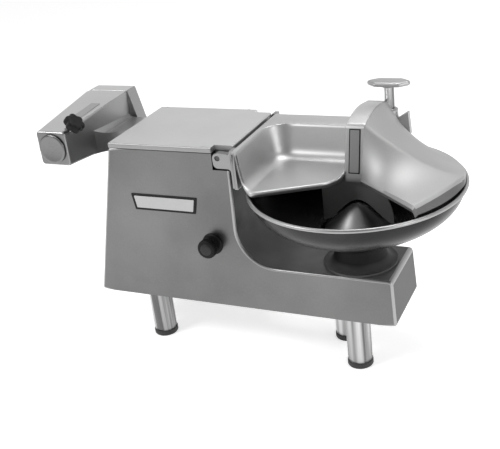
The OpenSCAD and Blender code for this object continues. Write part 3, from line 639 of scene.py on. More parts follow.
# Painted reflection: light and dark bands along the legs and the lock stem.
leg_metal = reflection_banded_tube("leg_steel", 0.14, 0.74, 0.24)
knob_metal = metal("knob_satin", 0.43, 0.04, 0.42)
bright_metal = metal("bright_steel", 0.56, 0.04, 0.22)
# Dark steel, also used as painted shade on the arm's end face and in the lid's seam.
dark_metal = metal("dark_steel", 0.10, 0.02, 0.42, bump=0.06)
badge_face = metal("badge_face", 0.45, 0.03, 0.40)
label_face = metal("label_face", 0.34, 0.03, 0.42)
switch_face = metal("switch_face", 0.05, 0.01, 0.50)
bronze = metal("bronze", 0.35, 0.04, 0.30)
rubber = plastic("dark_rubber", 0.05, 0.62)
black = plastic("black_plastic", 0.006, 0.48, 0.003, 0.2)
ink = plastic("black_border", 0.008, 0.45, 0.003, 0.25)
motor_paint = plastic("motor_paint", 0.08, 0.45)


# Housing casting
CASTING_R = 5.0
TOP_R = 5.5
ARM_TOP_R = 9.0
EDGE_HIGHLIGHT_W = 3.2
SPINDLE_BOSS_R = 34.0
SPINDLE_HOLE_R = 22.1
SHAFT_BOSS_R = 30.0
SHAFT_HOLE_R = 21.1
SWITCH_HOLE_R = 14.0
PIN_HOLE_R = 6.1


def casting_outline(depth=0.0):
    """Front view of the housing and its arm; that of the hollow runs on past the foot and the top."""
    past = 20 if depth else 0
    top = TOP_Z + past
    foot = BASE_Z - past
    corner = (X_RIGHT + CORNER_R, DECK_Z + CORNER_R)
    corners = [(X_LEFT - LEFT_LEAN * past, foot, TOP_R), (ARM_REACH, foot, TOP_R),
               (END_X, DECK_Z, ARM_TOP_R)]
    corners += [(u, v, 0) for u, v in arc(corner, CORNER_R, 270, 180, 20)]
    corners += [(X_RIGHT, top, TOP_R), (X_LEFT + LEFT_LEAN * (top - BASE_Z), top, TOP_R)]
    return rounded(corners)


def is_flat_end(a, b):
    """The bottom and the top edges take no rounding across the front."""
    level = abs(a[1] - b[1]) < 0.01
    return level and (a[1] <= BASE_Z + 0.01 or a[1] >= TOP_Z - 0.01)


def leaning(lean):
    """Places points of a front view on walls that lean back with height."""
    return lambda u, v, w: point(u, w + lean * (v - BASE_Z), v)


def casting_rings(depth, radius):
    """The casting's outlines from front to back: the arm ends first. A hollow lies a depth inside it."""
    outline = casting_outline(depth)
    edges = list(zip(outline, outline[1:] + outline[:1]))
    full = [0.0 if is_flat_end(a, b) else 1.0 for a, b in edges]
    arm_part = [share if min(a[0], b[0]) > X_RIGHT + 0.01 else 0.0 for share, (a, b) in zip(full, edges)]
    house = [(min(u, X_RIGHT), v) for u, v in outline]
    if depth:
        outline = inset(outline, [depth * s for s in full])
        house = inset(house, [depth * s for s in full])
    steps = 4 if radius else 0
    arm_back = ARM_D / 2 - depth
    on_arm_back = leaning(-FRONT_LEAN / 2)
    rings = edge_rings(outline, full, Y_FRONT + depth, 1, radius, leaning(FRONT_LEAN), steps)
    rings += edge_rings(outline, arm_part, arm_back, -1, radius, on_arm_back, steps)
    rings.append([on_arm_back(u, v, arm_back) for u, v in house])
    return rings + edge_rings(house, full, Y_BACK - depth, -1, radius, leaning(-FRONT_LEAN), steps)


NOTCH_X = HINGE_X - 13
NOTCH_Z = HINGE_Z - 26
EAR_T = 18.0
EAR_FRONT = Y_FRONT + 18
EAR_BACK = Y_BACK - 18 - EAR_T
NOTCH_GAP = 1.2
NOTCH_IN = EAR_FRONT + EAR_T + NOTCH_GAP
NOTCH_OUT = EAR_BACK - NOTCH_GAP


def notch_cutters(extra=0.0):
    """Blocks that clear the two ears of the cover at the housing's upper right edge."""
    left = NOTCH_X - extra
    low = NOTCH_Z - extra
    right = X_RIGHT + REACH
    return (box_object("cut", (left, Y_FRONT - REACH, low), (right, NOTCH_IN + extra, TOP_Z + REACH)),
            box_object("cut", (left, NOTCH_OUT - extra, low), (right, Y_BACK + REACH, TOP_Z + REACH)))


def front_y(z):
    """Where the leaning front wall stands at a height."""
    return Y_FRONT + FRONT_LEAN * (z - BASE_Z)


def drill_front(piece, x, z, radius, reach=40.0):
    """A hole square to the leaning front wall."""
    y = front_y(z)
    lean = FRONT_LEAN * reach
    drill(piece, (x, y - reach, z + lean), (x, y + reach, z - lean), radius)


SWITCH_X = X_RIGHT - 60
SWITCH_Z = BASE_Z + 150


def under_bowl(place, normal):
    """The deck and the hollow side of the housing below the bowl and its cover, which take painted shade."""
    if place.x < X_RIGHT - 2 or place.z > TOP_Z - 30:
        return False
    return normal.z > 0.2 or (normal.x > 0.2 and place.x < ARM_REACH - 60)


def build_casting():
    shell = rings_object("casting", casting_rings(0.0, CASTING_R))
    hollow = rings_object("hollow", casting_rings(WALL, 0))
    seat_z = BASE_Z + LEG_SEAT
    cut(hollow, *notch_cutters(WALL))
    for x, y in LEGS:
        drill(hollow, (x, y, BASE_Z - REACH), (x, y, seat_z + 4), BOSS_R)
    drill(hollow, (0, 0, DECK_Z - 29), (0, 0, DECK_Z + REACH), SPINDLE_BOSS_R)
    drill(hollow, (X_RIGHT - 40, SHAFT_Y, SHAFT_Z), (X_RIGHT + REACH, SHAFT_Y, SHAFT_Z), SHAFT_BOSS_R)
    cut(shell, hollow, *notch_cutters())
    for x, y in LEGS:
        drill(shell, (x, y, BASE_Z - REACH), (x, y, seat_z), LEG_R + FIT)
    drill(shell, (0, 0, DECK_Z - 60), (0, 0, DECK_Z + REACH), SPINDLE_HOLE_R)
    drill(shell, (X_RIGHT - 60, SHAFT_Y, SHAFT_Z), (X_RIGHT + REACH, SHAFT_Y, SHAFT_Z), SHAFT_HOLE_R)
    drill_front(shell, SWITCH_X, SWITCH_Z, SWITCH_HOLE_R)
    drill(shell, (HINGE_X, Y_FRONT - REACH, HINGE_Z), (HINGE_X, Y_BACK + REACH, HINGE_Z), PIN_HOLE_R, 24)
    finish(shell, cast, "root", "cast_aluminium", "base_casting")
    # Painted shade on the deck and the hollow wall under the bowl.
    repaint(shell, shaded_cast, under_bowl)
    # Painted shade: the arm's right end face takes the dark steel.
    repaint(shell, dark_metal, lambda place, normal: normal.x > 0.9 and place.x > END_X - 1)
    # Painted highlight along the rounded edges.
    repaint_edges(shell, edge_highlight_metal, EDGE_HIGHLIGHT_W)


build_casting()


# Lid
LID_LEFT = X_LEFT + HOUSING_H * LEFT_LEAN
LID_RIGHT = X_RIGHT + 4
LID_FRONT = Y_FRONT + FRONT_LEAN * HOUSING_H
LID_BACK = Y_BACK - FRONT_LEAN * HOUSING_H
LID_CLEAR = 5.0
SEAM = 1.6


def build_lid():
    """The lid stands on a narrower foot, which leaves a seam round it; the foot is dark steel, painted shade
    in that seam. Its right edge is square, and the cover clears it when it swings open."""
    foot = TOP_Z + SEAM
    outline = rounded([(LID_LEFT, foot, 0), (LID_RIGHT, foot, 0), (LID_RIGHT, LID_Z, 4),
                       (LID_LEFT, LID_Z, 5)], 8)
    soft = [1.0] * len(outline)
    soft[0] = 0.0
    lid = prism("lid", outline, LID_FRONT, LID_BACK, 3.5, along_y, 5, soft)
    cut(lid, *notch_cutters())
    finish(lid, lid_metal, "root", "lid_aluminium", "housing_lid")
    # Painted shade on the lid's front face.
    repaint(lid, arm_and_shade_metal, lambda place, normal: normal.y < -0.6)
    seat = box_object("lid_seat", (LID_LEFT + 7, LID_FRONT + 7, TOP_Z - 4),
                      (LID_RIGHT - 20, LID_BACK - 7, foot + 3))
    cut(seat, *notch_cutters(LID_CLEAR))
    # Painted shade: the seat in the lid's seam is dark steel.
    finish(seat, dark_metal, "root", "lid_aluminium")


build_lid()


# Bowl and its stand
def turned(name, profile, base, material, body, slot, *replaced, axis=(0, 0, 1), segments=128):
    piece = lathe(name, profile, base, axis, segments)
    return finish(piece, material, body, slot, *replaced, angle=40, weigh=False)


BOWL_DEPTH = 110.0
BOWL_IN = BOWL_R - 6.4
BOWL_T = 2.5
BOWL_STEPS = 30
RIM_R = 4.0
CONE_R = 82.0
CONE_H = 54.0


def ease(t):
    t = min(1.0, max(0.0, t))
    return t * t * (3 - 2 * t)


def bowl_wall(r, t):
    """Height of the dish at a radius, on its outside for t = 0 and on its inside for its thickness."""
    return RIM_Z - (BOWL_DEPTH - t) * math.sqrt(max(0.0, 1 - (r / (BOWL_IN - t)) ** 2))


def bowl_top(r):
    """Height of the bowl's inside: a cone in the middle and the dish round it."""
    if r > CONE_R:
        return bowl_wall(r, BOWL_T)
    return bowl_wall(CONE_R, BOWL_T) + CONE_H * ease(1 - r / CONE_R)


def bowl_profile():
    cone = [0.0] + spread(0.0, CONE_R, BOWL_STEPS)
    shares = [math.sin(math.pi / 2 * i / BOWL_STEPS) for i in range(1, BOWL_STEPS)]
    top = [(r, bowl_top(r)) for r in cone + [mix(CONE_R, BOWL_IN - BOWL_T, s) for s in shares]]
    rim = arc((BOWL_R - RIM_R, RIM_Z), RIM_R, 165, -128, 18)
    low = [(r, bowl_wall(r, 0)) for r in (mix(CONE_R, BOWL_IN, s) for s in shares)]
    under = [(r, bowl_wall(CONE_R, 0) + (CONE_H - 2) * ease(1 - r / (CONE_R - 2))) for r in cone]
    return top + rim + low[::-1] + under[::-1]


def build_bowl():
    dish = turned("bowl_dish", bowl_profile(), (0, 0, 0), bowl_metal, "bowl_unit", "stainless", "bowl",
                  segments=160)
    rim_in = BOWL_R - 2 * RIM_R - 0.5

    def on_rim(place, normal):
        return place.xy.length > rim_in and place.z > RIM_Z - BOWL_T

    # Painted highlight on the bowl's rim.
    repaint(dish, edge_highlight_metal, on_rim)
    # Painted light on the cone in the middle of the bowl.
    repaint(dish, cone_light_metal, lambda place, normal: place.xy.length < CONE_R * 0.86 and normal.z > 0)


build_bowl()


# Legs
TUBE_FOOT = 4.2
TIP_R = LEG_R + 1.5


def build_legs():
    """Tubes in the casting's bosses, each on a rubber tip that grips its lower end."""
    top = BASE_Z + LEG_SEAT - 0.2
    tube = [(0, TUBE_FOOT), (LEG_R - 1.5, TUBE_FOOT), (LEG_R, TUBE_FOOT + 1.8), (LEG_R, top - 0.8),
            (LEG_R - 1, top), (0, top)]
    tip = [(0, 0), (TIP_R - 3.5, 0), (TIP_R - 1, 0.8), (TIP_R, 2.4), (TIP_R, TIP_H - 2.5),
           (TIP_R - 0.6, TIP_H - 0.6), (LEG_R + FIT, TIP_H), (LEG_R + FIT, TUBE_FOOT), (0, TUBE_FOOT)]
    for i, (x, y) in enumerate(LEGS):
        turned(f"leg_{i}", tube, (x, y, 0), leg_metal, "root", "leg_steel", *only_first(i, "leg_tubes"))
        turned(f"tip_{i}", tip, (x, y, 0), rubber, "root", "dark_rubber", *only_first(i, "foot_tips"))


build_legs()


# Bowl cover: a tray at the left, the knife hump, and the bell at the right
TRAY_X = X_RIGHT + 18
COVER_R = BOWL_R - 12.6
BAND_Z = LID_Z
HUMP_HALF = 22.0
LIP_FRONT = -8.0
TRAY_BACK = 98.0
BAND_BACK = 158.0
COVER_T = 5.0
SHOULDER_Y = 20.0
PEAK_Y = BOWL_R * 0.69
HUMP_BACK = COVER_R + 2
BELL_X = HUMP_HALF - 2
BELL_EDGE = RIM_Z + 18
STEM = (26.0, PEAK_Y + 20)
STEM_R = 11.0
STEM_HOLE_R = 14.2
SLOT_HALF = 15.0
LIP = ((TRAY_X, -78), (TRAY_X + 17, -98), (TRAY_X + 54, -124), (-46, -50), (-30, -24), (-BELL_X, LIP_FRONT))


def lookup(x, table):
    for (x0, y0), (x1, y1) in zip(table, table[1:]):
        if x <= x1:
            return y0 + (y1 - y0) * max(0.0, (x - x0) / (x1 - x0))
    return table[-1][1]


def lip_y(x):
    """The tray's front edge, with its corners eased over 7 mm to each side."""
    return sum(lookup(x + 7.0 * k / 3, LIP) for k in range(-3, 4)) / 7


BAND_W = 9.0
TRAY_CORNER = 58.0
FLOOR_FILLET = 28.0
WALL_SLOPE = 3.1
FILLET_TURN = math.atan(WALL_SLOPE)
FILLET_RUN = FLOOR_FILLET * math.sin(FILLET_TURN)
FILLET_RISE = FLOOR_FILLET * (1 - math.cos(FILLET_TURN))
WALL_RUN = FILLET_RUN + (BAND_Z - TRAY_Z - FILLET_RISE) / WALL_SLOPE
HUMP_FILLET = 13.0


def wall_rise(d):
    """Height over the tray floor at a distance d inside the top band's inner edge."""
    if d >= WALL_RUN:
        return 0.0
    if d > WALL_RUN - FILLET_RUN:
        side = WALL_RUN - d
        return FLOOR_FILLET - math.sqrt(FLOOR_FILLET ** 2 - side ** 2)
    rise = FILLET_RISE + (WALL_RUN - FILLET_RUN - d) * WALL_SLOPE
    top = BAND_Z - TRAY_Z
    return min(top, rise) if d > 0 else top


def tray_height(x, y):
    left = x - TRAY_X - BAND_W
    back = TRAY_BACK - y
    if left < TRAY_CORNER and back < TRAY_CORNER:
        d = TRAY_CORNER - math.hypot(TRAY_CORNER - left, TRAY_CORNER - back)
    else:
        d = min(left, back)
    z = TRAY_Z + wall_rise(d)
    near = -HUMP_HALF - x
    if near < HUMP_FILLET:
        side = min(HUMP_FILLET, HUMP_FILLET - near) * 0.97
        z = z + HUMP_FILLET - math.sqrt(HUMP_FILLET ** 2 - side ** 2)
    return z


def back_y(x):
    return max(BAND_BACK + 5, math.sqrt(max(0.0, COVER_R ** 2 - x * x)))


def tray_column(x):
    """The tray from its lip over its floor, back wall and band down to the rim, at one x."""
    y0 = lip_y(x)
    z0 = tray_height(x, y0 + 3)
    foot = TRAY_BACK - WALL_RUN - 2
    rows = [(y0 + 2.5, z0 - 11), (y0 + 0.6, z0 - 7), (y0, z0 - 4), (y0 + 0.9, z0 - 1.3), (y0 + 3, z0)]
    rows += [(y, tray_height(x, y)) for y in spread(y0 + 3, foot, 22) + spread(foot, TRAY_BACK, 22)[:-1]]
    end = back_y(x)
    top = tray_height(x, TRAY_BACK + 3)
    rows += [(TRAY_BACK - 0.2, top - 0.6), (TRAY_BACK + 1.2, top), (BAND_BACK - 4, top),
             (BAND_BACK - 1.5, top - 0.7), (BAND_BACK - 0.3, top - 2.6)]
    for k in range(6):
        rows.append((mix(BAND_BACK, end, math.sin(math.pi / 2 * k / 5)), mix(BAND_Z - 4, EDGE_Z, k / 5)))
    return [(x, y, z) for y, z in rows]


def grid_object(name, grid):
    """A sheet through columns of points."""
    rows = len(grid[0])
    faces = []
    for i in range(0, (len(grid) - 1) * rows, rows):
        for j in range(i, i + rows - 1):
            faces.append((j, j + rows, j + rows + 1, j + 1))
    mesh = bpy.data.meshes.new(name)
    mesh.from_pydata([point(*p) for column in grid for p in column], [], faces)
    return add_object(name, mesh)


def shaft_slot():
    """A cutter for the way of the knife shaft through the left of the cover."""
    return box_object("cut", (TRAY_X - REACH, SHAFT_Y - SLOT_HALF, RIM_Z - REACH),
                      (0, SHAFT_Y + SLOT_HALF, SHAFT_Z + SLOT_HALF))


def build_tray():
    inner = TRAY_X + BAND_W
    middle = -HUMP_HALF - HUMP_FILLET
    spots = [TRAY_X, TRAY_X + 3, TRAY_X + 6, inner - 0.6, inner + 0.4]
    spots += spread(inner, inner + WALL_RUN, 20) + spread(inner + WALL_RUN, middle, 22)
    spots += spread(middle, -BELL_X, 8)
    side = TRAY_X - 2.4
    grid = []
    for x, low in ((side, EDGE_Z), (side, BAND_Z - 30), (side, BAND_Z - 3), (side + 0.8, BAND_Z - 0.9)):
        grid.append([(x, y, min(z, low)) for _, y, z in tray_column(TRAY_X)])
    grid += [tray_column(x) for x in spots]
    tray = grid_object("cover_tray", grid)
    thicken(tray, COVER_T)
    cut(tray, shaft_slot())
    finish(tray, cover_metal, "cover", "cast_aluminium", "bowl_cover", angle=50, weigh=False)
    # Painted shade on the tray's front-facing faces at its left end.
    repaint(tray, arm_and_shade_metal, lambda place, normal: normal.y < -0.8 and place.x < TRAY_X + 16)


HUMP_TOP = 12.0
HUMP_WALL = COVER_T - 0.4


def hump_edge(y):
    """Height of the hump's edge: a straight front, a low swell and a steep back."""
    if y < SHOULDER_Y:
        return mix(TRAY_Z - 2, SHOULDER_Z, (y - LIP_FRONT) / (SHOULDER_Y - LIP_FRONT))
    if y < PEAK_Y:
        t = (y - SHOULDER_Y) / (PEAK_Y - SHOULDER_Y)
        return SHOULDER_Z + HUMP_TOP * 0.8 * math.sin(math.pi * t) + 4 * t
    t = (y - PEAK_Y) / (HUMP_BACK - PEAK_Y)
    return mix(SHOULDER_Z + 4, EDGE_Z + 8, t ** 2.4)


def hump_outline():
    """The hump seen from the side, from its front foot over the top to its back foot."""
    front = spread(LIP_FRONT, SHOULDER_Y, 4)[:-1]
    behind = spread(SHOULDER_Y, PEAK_Y, 14)[2:] + spread(PEAK_Y, HUMP_BACK, 12)
    corners = [(HUMP_BACK, EDGE_Z, 0), (LIP_FRONT, TRAY_Z - 12, 0), (LIP_FRONT, TRAY_Z - 2, 0)]
    corners += [(y, hump_edge(y), 0) for y in front]
    corners += [(SHOULDER_Y, SHOULDER_Z, 14)]
    corners += [(y, hump_edge(y), 0) for y in behind]
    return rounded(corners, 6)


def build_hump():
    outline = hump_outline()
    soft = [1.0] * len(outline)
    soft[0] = 0.0
    hump = prism("cover_hump", outline, -HUMP_HALF, HUMP_HALF, 4.0, along_x, 5, soft)
    depths = [HUMP_WALL] * len(outline)
    depths[0] = -30.0
    half = HUMP_HALF - HUMP_WALL
    cut(hump, prism("hollow", inset(outline, depths), -half, half, 0.5, along_x, 2))
    drill(hump, (*STEM, BASE_Z), (*STEM, TOP_Z + REACH), STEM_HOLE_R + FIT)
    cut(hump, shaft_slot())
    finish(hump, cover_metal, "cover", "cast_aluminium", angle=35)


CREASE = 0.34
CREASE_ANGLE = 4.0
BELL_CORNER = (COVER_R * 0.73, COVER_R * -0.6)
BELL_SEAT = EDGE_Z + 2


def on_edge(radius, angle):
    return (radius * math.cos(math.radians(angle)), radius * math.sin(math.radians(angle)))


def bell_start(t):
    if t < CREASE:
        return mix(LIP_FRONT, SHOULDER_Y, t / CREASE)
    return mix(SHOULDER_Y, HUMP_BACK - 6, (t - CREASE) / (1 - CREASE))


def bell_outer(t):
    """The outer edge at t, with its height: straight to the right, then round and down onto the rim."""
    if t < CREASE:
        far = on_edge(COVER_R, CREASE_ANGLE)
        share = t / CREASE
        return (mix(BELL_CORNER[0], far[0], share), mix(BELL_CORNER[1], far[1], share), BELL_EDGE)
    turn = (84 - CREASE_ANGLE) * (t - CREASE) / (1 - CREASE)
    return (*on_edge(COVER_R, CREASE_ANGLE + turn), mix(BELL_EDGE, BELL_SEAT, ease(turn / 28)))


def bell_point(t, u):
    y0 = bell_start(t)
    x, y, z = bell_outer(t)
    return (mix(BELL_X, x, u), mix(y0, y, u), mix(z, hump_edge(y0) - 3, (1 - u) ** 1.5))


def build_bell():
    across = 44
    along = 84
    grid = []
    for j in range(along + 1):
        t = j / along
        row = [bell_point(t, i / across) for i in range(across + 1)]
        x, y, z = row[-1]
        foot = on_edge(COVER_R + 1.5, math.degrees(math.atan2(y, x)))
        for share, drop in ((0.1, 0.04), (0.22, 0.16), (0.36, 0.32), (1.0, 1.0)):
            row.append((mix(x, foot[0], share), mix(y, foot[1], share), mix(z, EDGE_Z, drop)))
        grid.append(row)
    front = [(x + 1, y + 1, z - 9) for x, y, z in grid[0]]
    lip = [(x - 0.6, y - 0.9, z - 2.5) for x, y, z in grid[0]]
    bell = grid_object("cover_bell", [front, lip] + grid)
    thicken(bell, COVER_T)
    finish(bell, bell_metal, "cover", "cast_aluminium", angle=38, weigh=False)
    crease = [bell_point(k / along, 1.0) for k in range(along + 1)]

    def on_skirt(place, normal):
        turn = math.atan2(place.y, place.x)
        near = min(crease, key=lambda c: abs(math.atan2(c[1], c[0]) - turn))
        return place.xy.length > math.hypot(near[0], near[1]) + 2.5 and place.z < near[2] - 1.5

    # Painted shade on the bell's skirt below the crease.
    repaint(bell, skirt_shade_metal, on_skirt)


build_tray()
build_hump()
build_bell()

BOSS_TOP = BAND_Z + 13
BOSS_R_OUT = 18.0


def build_boss():
    """The boss that guides the stem, and its web out to the right."""
    foot = EDGE_Z + 40
    high = BOSS_TOP - foot
    u, y = STEM
    outline = rounded([(u, foot, 0), (u + 46, foot, 2), (u + 42, BOSS_TOP - 4, 2),
                       (u + BOSS_R_OUT, BOSS_TOP - 20, 2), (u, BOSS_TOP - 20, 0)], 3)
    web = prism("boss_web", outline, y - 7, y + 7, 1.5, along_y, 3)
    profile = [(STEM_HOLE_R, 0), (BOSS_R_OUT, 0), (BOSS_R_OUT, high - 1.5), (BOSS_R_OUT - 1.5, high),
               (STEM_HOLE_R, high), (STEM_HOLE_R, 0)]
    turned("cover_boss", profile, (u, y, foot), cover_metal, "cover", "cast_aluminium", segments=64)
    drill(web, (u, y, BASE_Z), (u, y, TOP_Z + REACH), STEM_HOLE_R + 0.8)
    finish(web, cover_metal, "cover", "cast_aluminium", angle=35)


build_boss()


# Stem and its handle
KNOB_Z = RIM_Z + 152
KNOB_R = 47.0
STEM_DEPTH = 74.0


def build_stem():
    length = KNOB_Z - BOSS_TOP + STEM_DEPTH + 2
    profile = [(0, 0), (STEM_R - 1, 0), (STEM_R, 1.5), (STEM_R, length), (0, length)]
    # The stem takes the leg steel with its painted reflection bands.
    turned("lock_stem_turned", profile, (*STEM, BOSS_TOP - STEM_DEPTH), leg_metal, "cover_lock", "leg_steel",
           "lock_stem", segments=64)


def build_knob():
    """An oblong handle, a long hexagon from above, with rounded edges and a slightly domed top."""
    half = KNOB_R * 0.45
    tip = KNOB_R + 5.0
    wide = KNOB_R * 0.58
    outline = rounded([(tip, 0, 9), (wide, half, 10), (-wide, half, 10), (-tip, 0, 9), (-wide, -half, 10),
                       (wide, -half, 10)], 6)
    levels = [(5.0, 3.0), (2.2, 3.4), (0.6, 4.6), (0, 6.4), (0, 8.4), (0.5, 10.2), (1.8, 11.7),
              (4.0, 12.7), (8, 13.4), (13, 13.9), (18, 14.0)]
    rings = []
    for depth, z in levels:
        flat = [(u * (1 - depth / KNOB_R), v * (1 - depth / half)) for u, v in outline]
        rings.append([point(STEM[0] + u, STEM[1] + v, KNOB_Z + z) for u, v in flat])
    knob = rings_object("lock_handle", rings)
    finish(knob, knob_metal, "cover_lock", "lid_aluminium", "lock_knob", angle=50)
    hole = STEM_R + 0.3
    neck = [(hole, 0), (14.6, 0), (16, 0.8), (16, 3.4), (hole, 3.4), (hole, 0)]
    turned("lock_handle_neck", neck, (*STEM, KNOB_Z), knob_metal, "cover_lock", "lid_aluminium", segments=48)


build_stem()
build_knob()


# Arms that carry the cover on the hinge pins
PIN_R = 6.0


def build_ears():
    x, z = HINGE_X, HINGE_Z
    right = TRAY_X - 2.2
    foot = RIM_Z - 4
    outline = rounded([(x - 12.2, z - 23.5, 12), (x - 12.2, z + 12.2, 12), (x + 27, z + 9.8, 1.5),
                       (x + 31, z + 20, 3), (right, z + 20, 0), (right, foot, 3), (right - 9.8, foot, 3),
                       (right - 13.8, z - 23.5, 7)], 6)
    for number, y in enumerate((EAR_FRONT, EAR_BACK)):
        ear = prism(f"ear_{number}", outline, y, y + EAR_T, 1.0, along_y, 3)
        drill(ear, (x, y - 9, z), (x, y + 30, z), PIN_R + FIT / 2, 32)
        finish(ear, arm_and_shade_metal, "cover", "cast_aluminium", *only_first(number, "hinge_arms"))


build_ears()


# Plate under the hump that closes the way to the knives
PLATE_Y = 8.0
PLATE_LEFT = -80.0
PLATE_T = 4.0
PLATE_GAP = 6.0
PLATE_ARC = (-30.0, RIM_Z - 84, 106.0)


def build_guard():
    """Its lower edge follows the bowl's inside at a gap, and its right edge is round."""
    u0, v0, r = PLATE_ARC
    foot = [PLATE_LEFT] + spread(PLATE_LEFT, u0 + r, 40)
    low = [(u, bowl_top(math.hypot(u, PLATE_Y)) + PLATE_GAP) for u in foot]
    side = arc((u0, v0), r, 4, 56, 24)
    right = -HUMP_HALF - 1
    top = [(right, TRAY_Z - 12.4), (right, TRAY_Z - 5.4), (PLATE_LEFT, TRAY_Z - 5.4)]
    plate = prism("guard", low + side + top, PLATE_Y, PLATE_Y + PLATE_T, 0.8, along_y, 3)
    finish(plate, guard_metal, "cover", "guard_metal", "guard_plate", angle=30)


build_guard()


# Bare plate on the hump's front: a face in a darker border
LABEL_RUN = (SHOULDER_Y - LIP_FRONT) / (SHOULDER_Z - TRAY_Z + 2)


def on_slope(x, y, z, turn):
    """Places points on a plane that leans back by an angle: u across, v up the slope and w out of it."""
    def place(u, v, w):
        return point(x + u, y + v * math.sin(turn) - w * math.cos(turn),
                     z + v * math.cos(turn) + w * math.sin(turn))
    return place


def trapezoid(half_u, half_v, wide, corner):
    return rounded([(-half_u, -half_v, corner), (half_u, -half_v, corner), (wide, half_v, corner),
                    (-wide, half_v, corner)], 4)


def plate_pair(name, place, half_u, half_v, border, body, replaced, face_material, taper=0.0, corner=1.5,
               lift=1.2):
    """A thin bordered plate: a dark border plate and a slightly raised bare face on it."""
    edge = trapezoid(half_u, half_v, half_u + taper, corner)
    back = prism(name + "_border", edge, 0.0, lift, 0.4, place, 3)
    finish(back, ink, body, "badge_metal", replaced, angle=40)
    u = half_u - border
    v = half_v - border
    edge = trapezoid(u, v, u + taper * v / half_v, corner)
    face = prism(name + "_face", edge, lift - 0.4, lift + 0.3, 0.25, place, 3)
    finish(face, face_material, body, "badge_metal", angle=40)


LABEL_Z = BAND_Z - 21
LABEL_Y = LIP_FRONT + (LABEL_Z - TRAY_Z + 2) * LABEL_RUN
plate_pair("hump_plate", on_slope(0, LABEL_Y, LABEL_Z, math.atan(LABEL_RUN)), 12, 46, 2.2, "cover",
           "cover_label_plate", label_face, corner=1.0)


# Bushing that guides the stem, and hinge pins with rounded ends
def build_bushing():
    hole = STEM_R + 0.2
    profile = [(hole, 0), (13.6, 0), (14, 0.6), (14, 61), (13.2, 62), (hole, 62), (hole, 0)]
    turned("stem_guide", profile, (*STEM, BOSS_TOP - 60), bronze, "cover", "bronze", "stem_bushing",
           segments=64)


def build_pins():
    length = EAR_T + 9.2
    profile = [(0, 0), (PIN_R - 1, 0), (PIN_R, 1), (PIN_R, length - 1), (PIN_R - 1, length), (0, length)]
    for number, start in enumerate((EAR_FRONT + 1, EAR_BACK - 10.2)):
        base = (HINGE_X, start, HINGE_Z)
        turned(f"hinge_pin_{number}", profile, base, dark_metal, "root", "machine_steel",
               *only_first(number, "hinge_pins"), axis=(0, 1, 0), segments=48)


build_bushing()
build_pins()


# Badge and switch on the leaning front wall
LEAN_TURN = math.atan(FRONT_LEAN)
BADGE_Z = BASE_Z + HOUSING_H * 0.66
plate_pair("badge", on_slope(X_RIGHT - 170, front_y(BADGE_Z), BADGE_Z, LEAN_TURN), 76.5, 19, 5.0, "root",
           "badge_plate", badge_face, taper=7, lift=2.0)


def knob_rings(place, levels, steps, reach):
    """Rings of a knob from (depth, height) levels; reach gives the radius at a depth and an angle."""
    rings = []
    for depth, w in levels:
        turns = [2 * math.pi * i / steps for i in range(steps)]
        rings.append([place(reach(depth, a) * math.cos(a), reach(depth, a) * math.sin(a), w) for a in turns])
    return rings


SWITCH_R = 22.0
RIDGES = 28
RIDGE_DEEP = 0.9


def build_switch():
    """A ribbed round grip with a plain face, on a stem in a bezel."""
    base = (SWITCH_X, front_y(SWITCH_Z), SWITCH_Z)
    axis = (0, -math.cos(LEAN_TURN), math.sin(LEAN_TURN))
    bezel = [(7.5, -9), (12, -9), (12, 0), (25, 0), (25, 1.2), (24.4, 2.6), (23, 4.2), (21, 5), (9, 5),
             (7.5, 4.4), (7.5, -9)]
    stem = [(0, -11), (7.4, -11), (7.4, 17), (0, 17)]
    disc = [(0, 34.4), (13.2, 34.4), (13.2, 35.2), (12.6, 35.7), (6, 36.0), (0, 36.1)]
    grip = [(6, 16), (3.2, 17.2), (1.2, 19), (0.2, 21), (0, 23), (0, 29.5), (0.4, 31.5), (1.6, 33.4),
            (3.6, 34.6), (6.5, 35), (8.6, 34.9)]
    turned("switch_ring", bezel, base, black, "root", "black_plastic", "switch_bezel", axis=axis,
           segments=96)
    turned("switch_stem", stem, base, bright_metal, "switch", "black_plastic", axis=axis, segments=48)

    def reach(depth, a):
        groove = RIDGE_DEEP * (0.5 - 0.5 * math.cos(a * RIDGES)) ** 3 if depth < 3 else 0.0
        return SWITCH_R - depth - groove

    knob = rings_object("switch_grip", knob_rings(on_slope(*base, LEAN_TURN), grip, RIDGES * 6, reach))
    finish(knob, black, "switch", "black_plastic", "switch_knob", angle=50)
    turned("switch_disc", disc, base, switch_face, "switch", "badge_metal", axis=axis, segments=64)


build_switch()


# Attachment hub at the rear left
HUB_BACK = HUB_FRONT + HUB_L
HUB_LOW = HUB_Z - 62
HUB_SLOPE = 15.0 / (HUB_L - 12)
HUB_SCREW_Y = HUB_FRONT + 26
SOCKET_R = 17.5
SOCKET_DEPTH = 60.0
BUSHING_BORE_R = 22.05
BUSHING_END = HUB_FRONT + 220
THUMB_R = 5.0
THUMB_SEAT_R = 12.0
THUMB_REACH = 140.0
SCREW_OUT = HUB_W * 0.62
DIAGONAL = math.sqrt(0.5)


def hull_object(name, points, radius):
    """The convex body round some points, with its edges rounded."""
    mesh = bpy.data.meshes.new(name)
    work = bmesh.new()
    for p in points:
        work.verts.new(point(*p))
    bmesh.ops.convex_hull(work, input=work.verts)
    bmesh.ops.delete(work, geom=[v for v in work.verts if not v.link_faces], context="VERTS")
    bmesh.ops.dissolve_limit(work, angle_limit=math.radians(0.5), verts=work.verts, edges=work.edges)
    bmesh.ops.recalc_face_normals(work, faces=work.faces)
    work.to_mesh(mesh)
    work.free()
    piece = add_object(name, mesh)
    add_bevel(piece, radius, 4, 28)
    apply_all(piece)
    return piece


NECK_TOP = TOP_Z - 16
NECK_FRONT = HUB_FRONT + 157
NECK_FLARE = (34.0, 90.0)


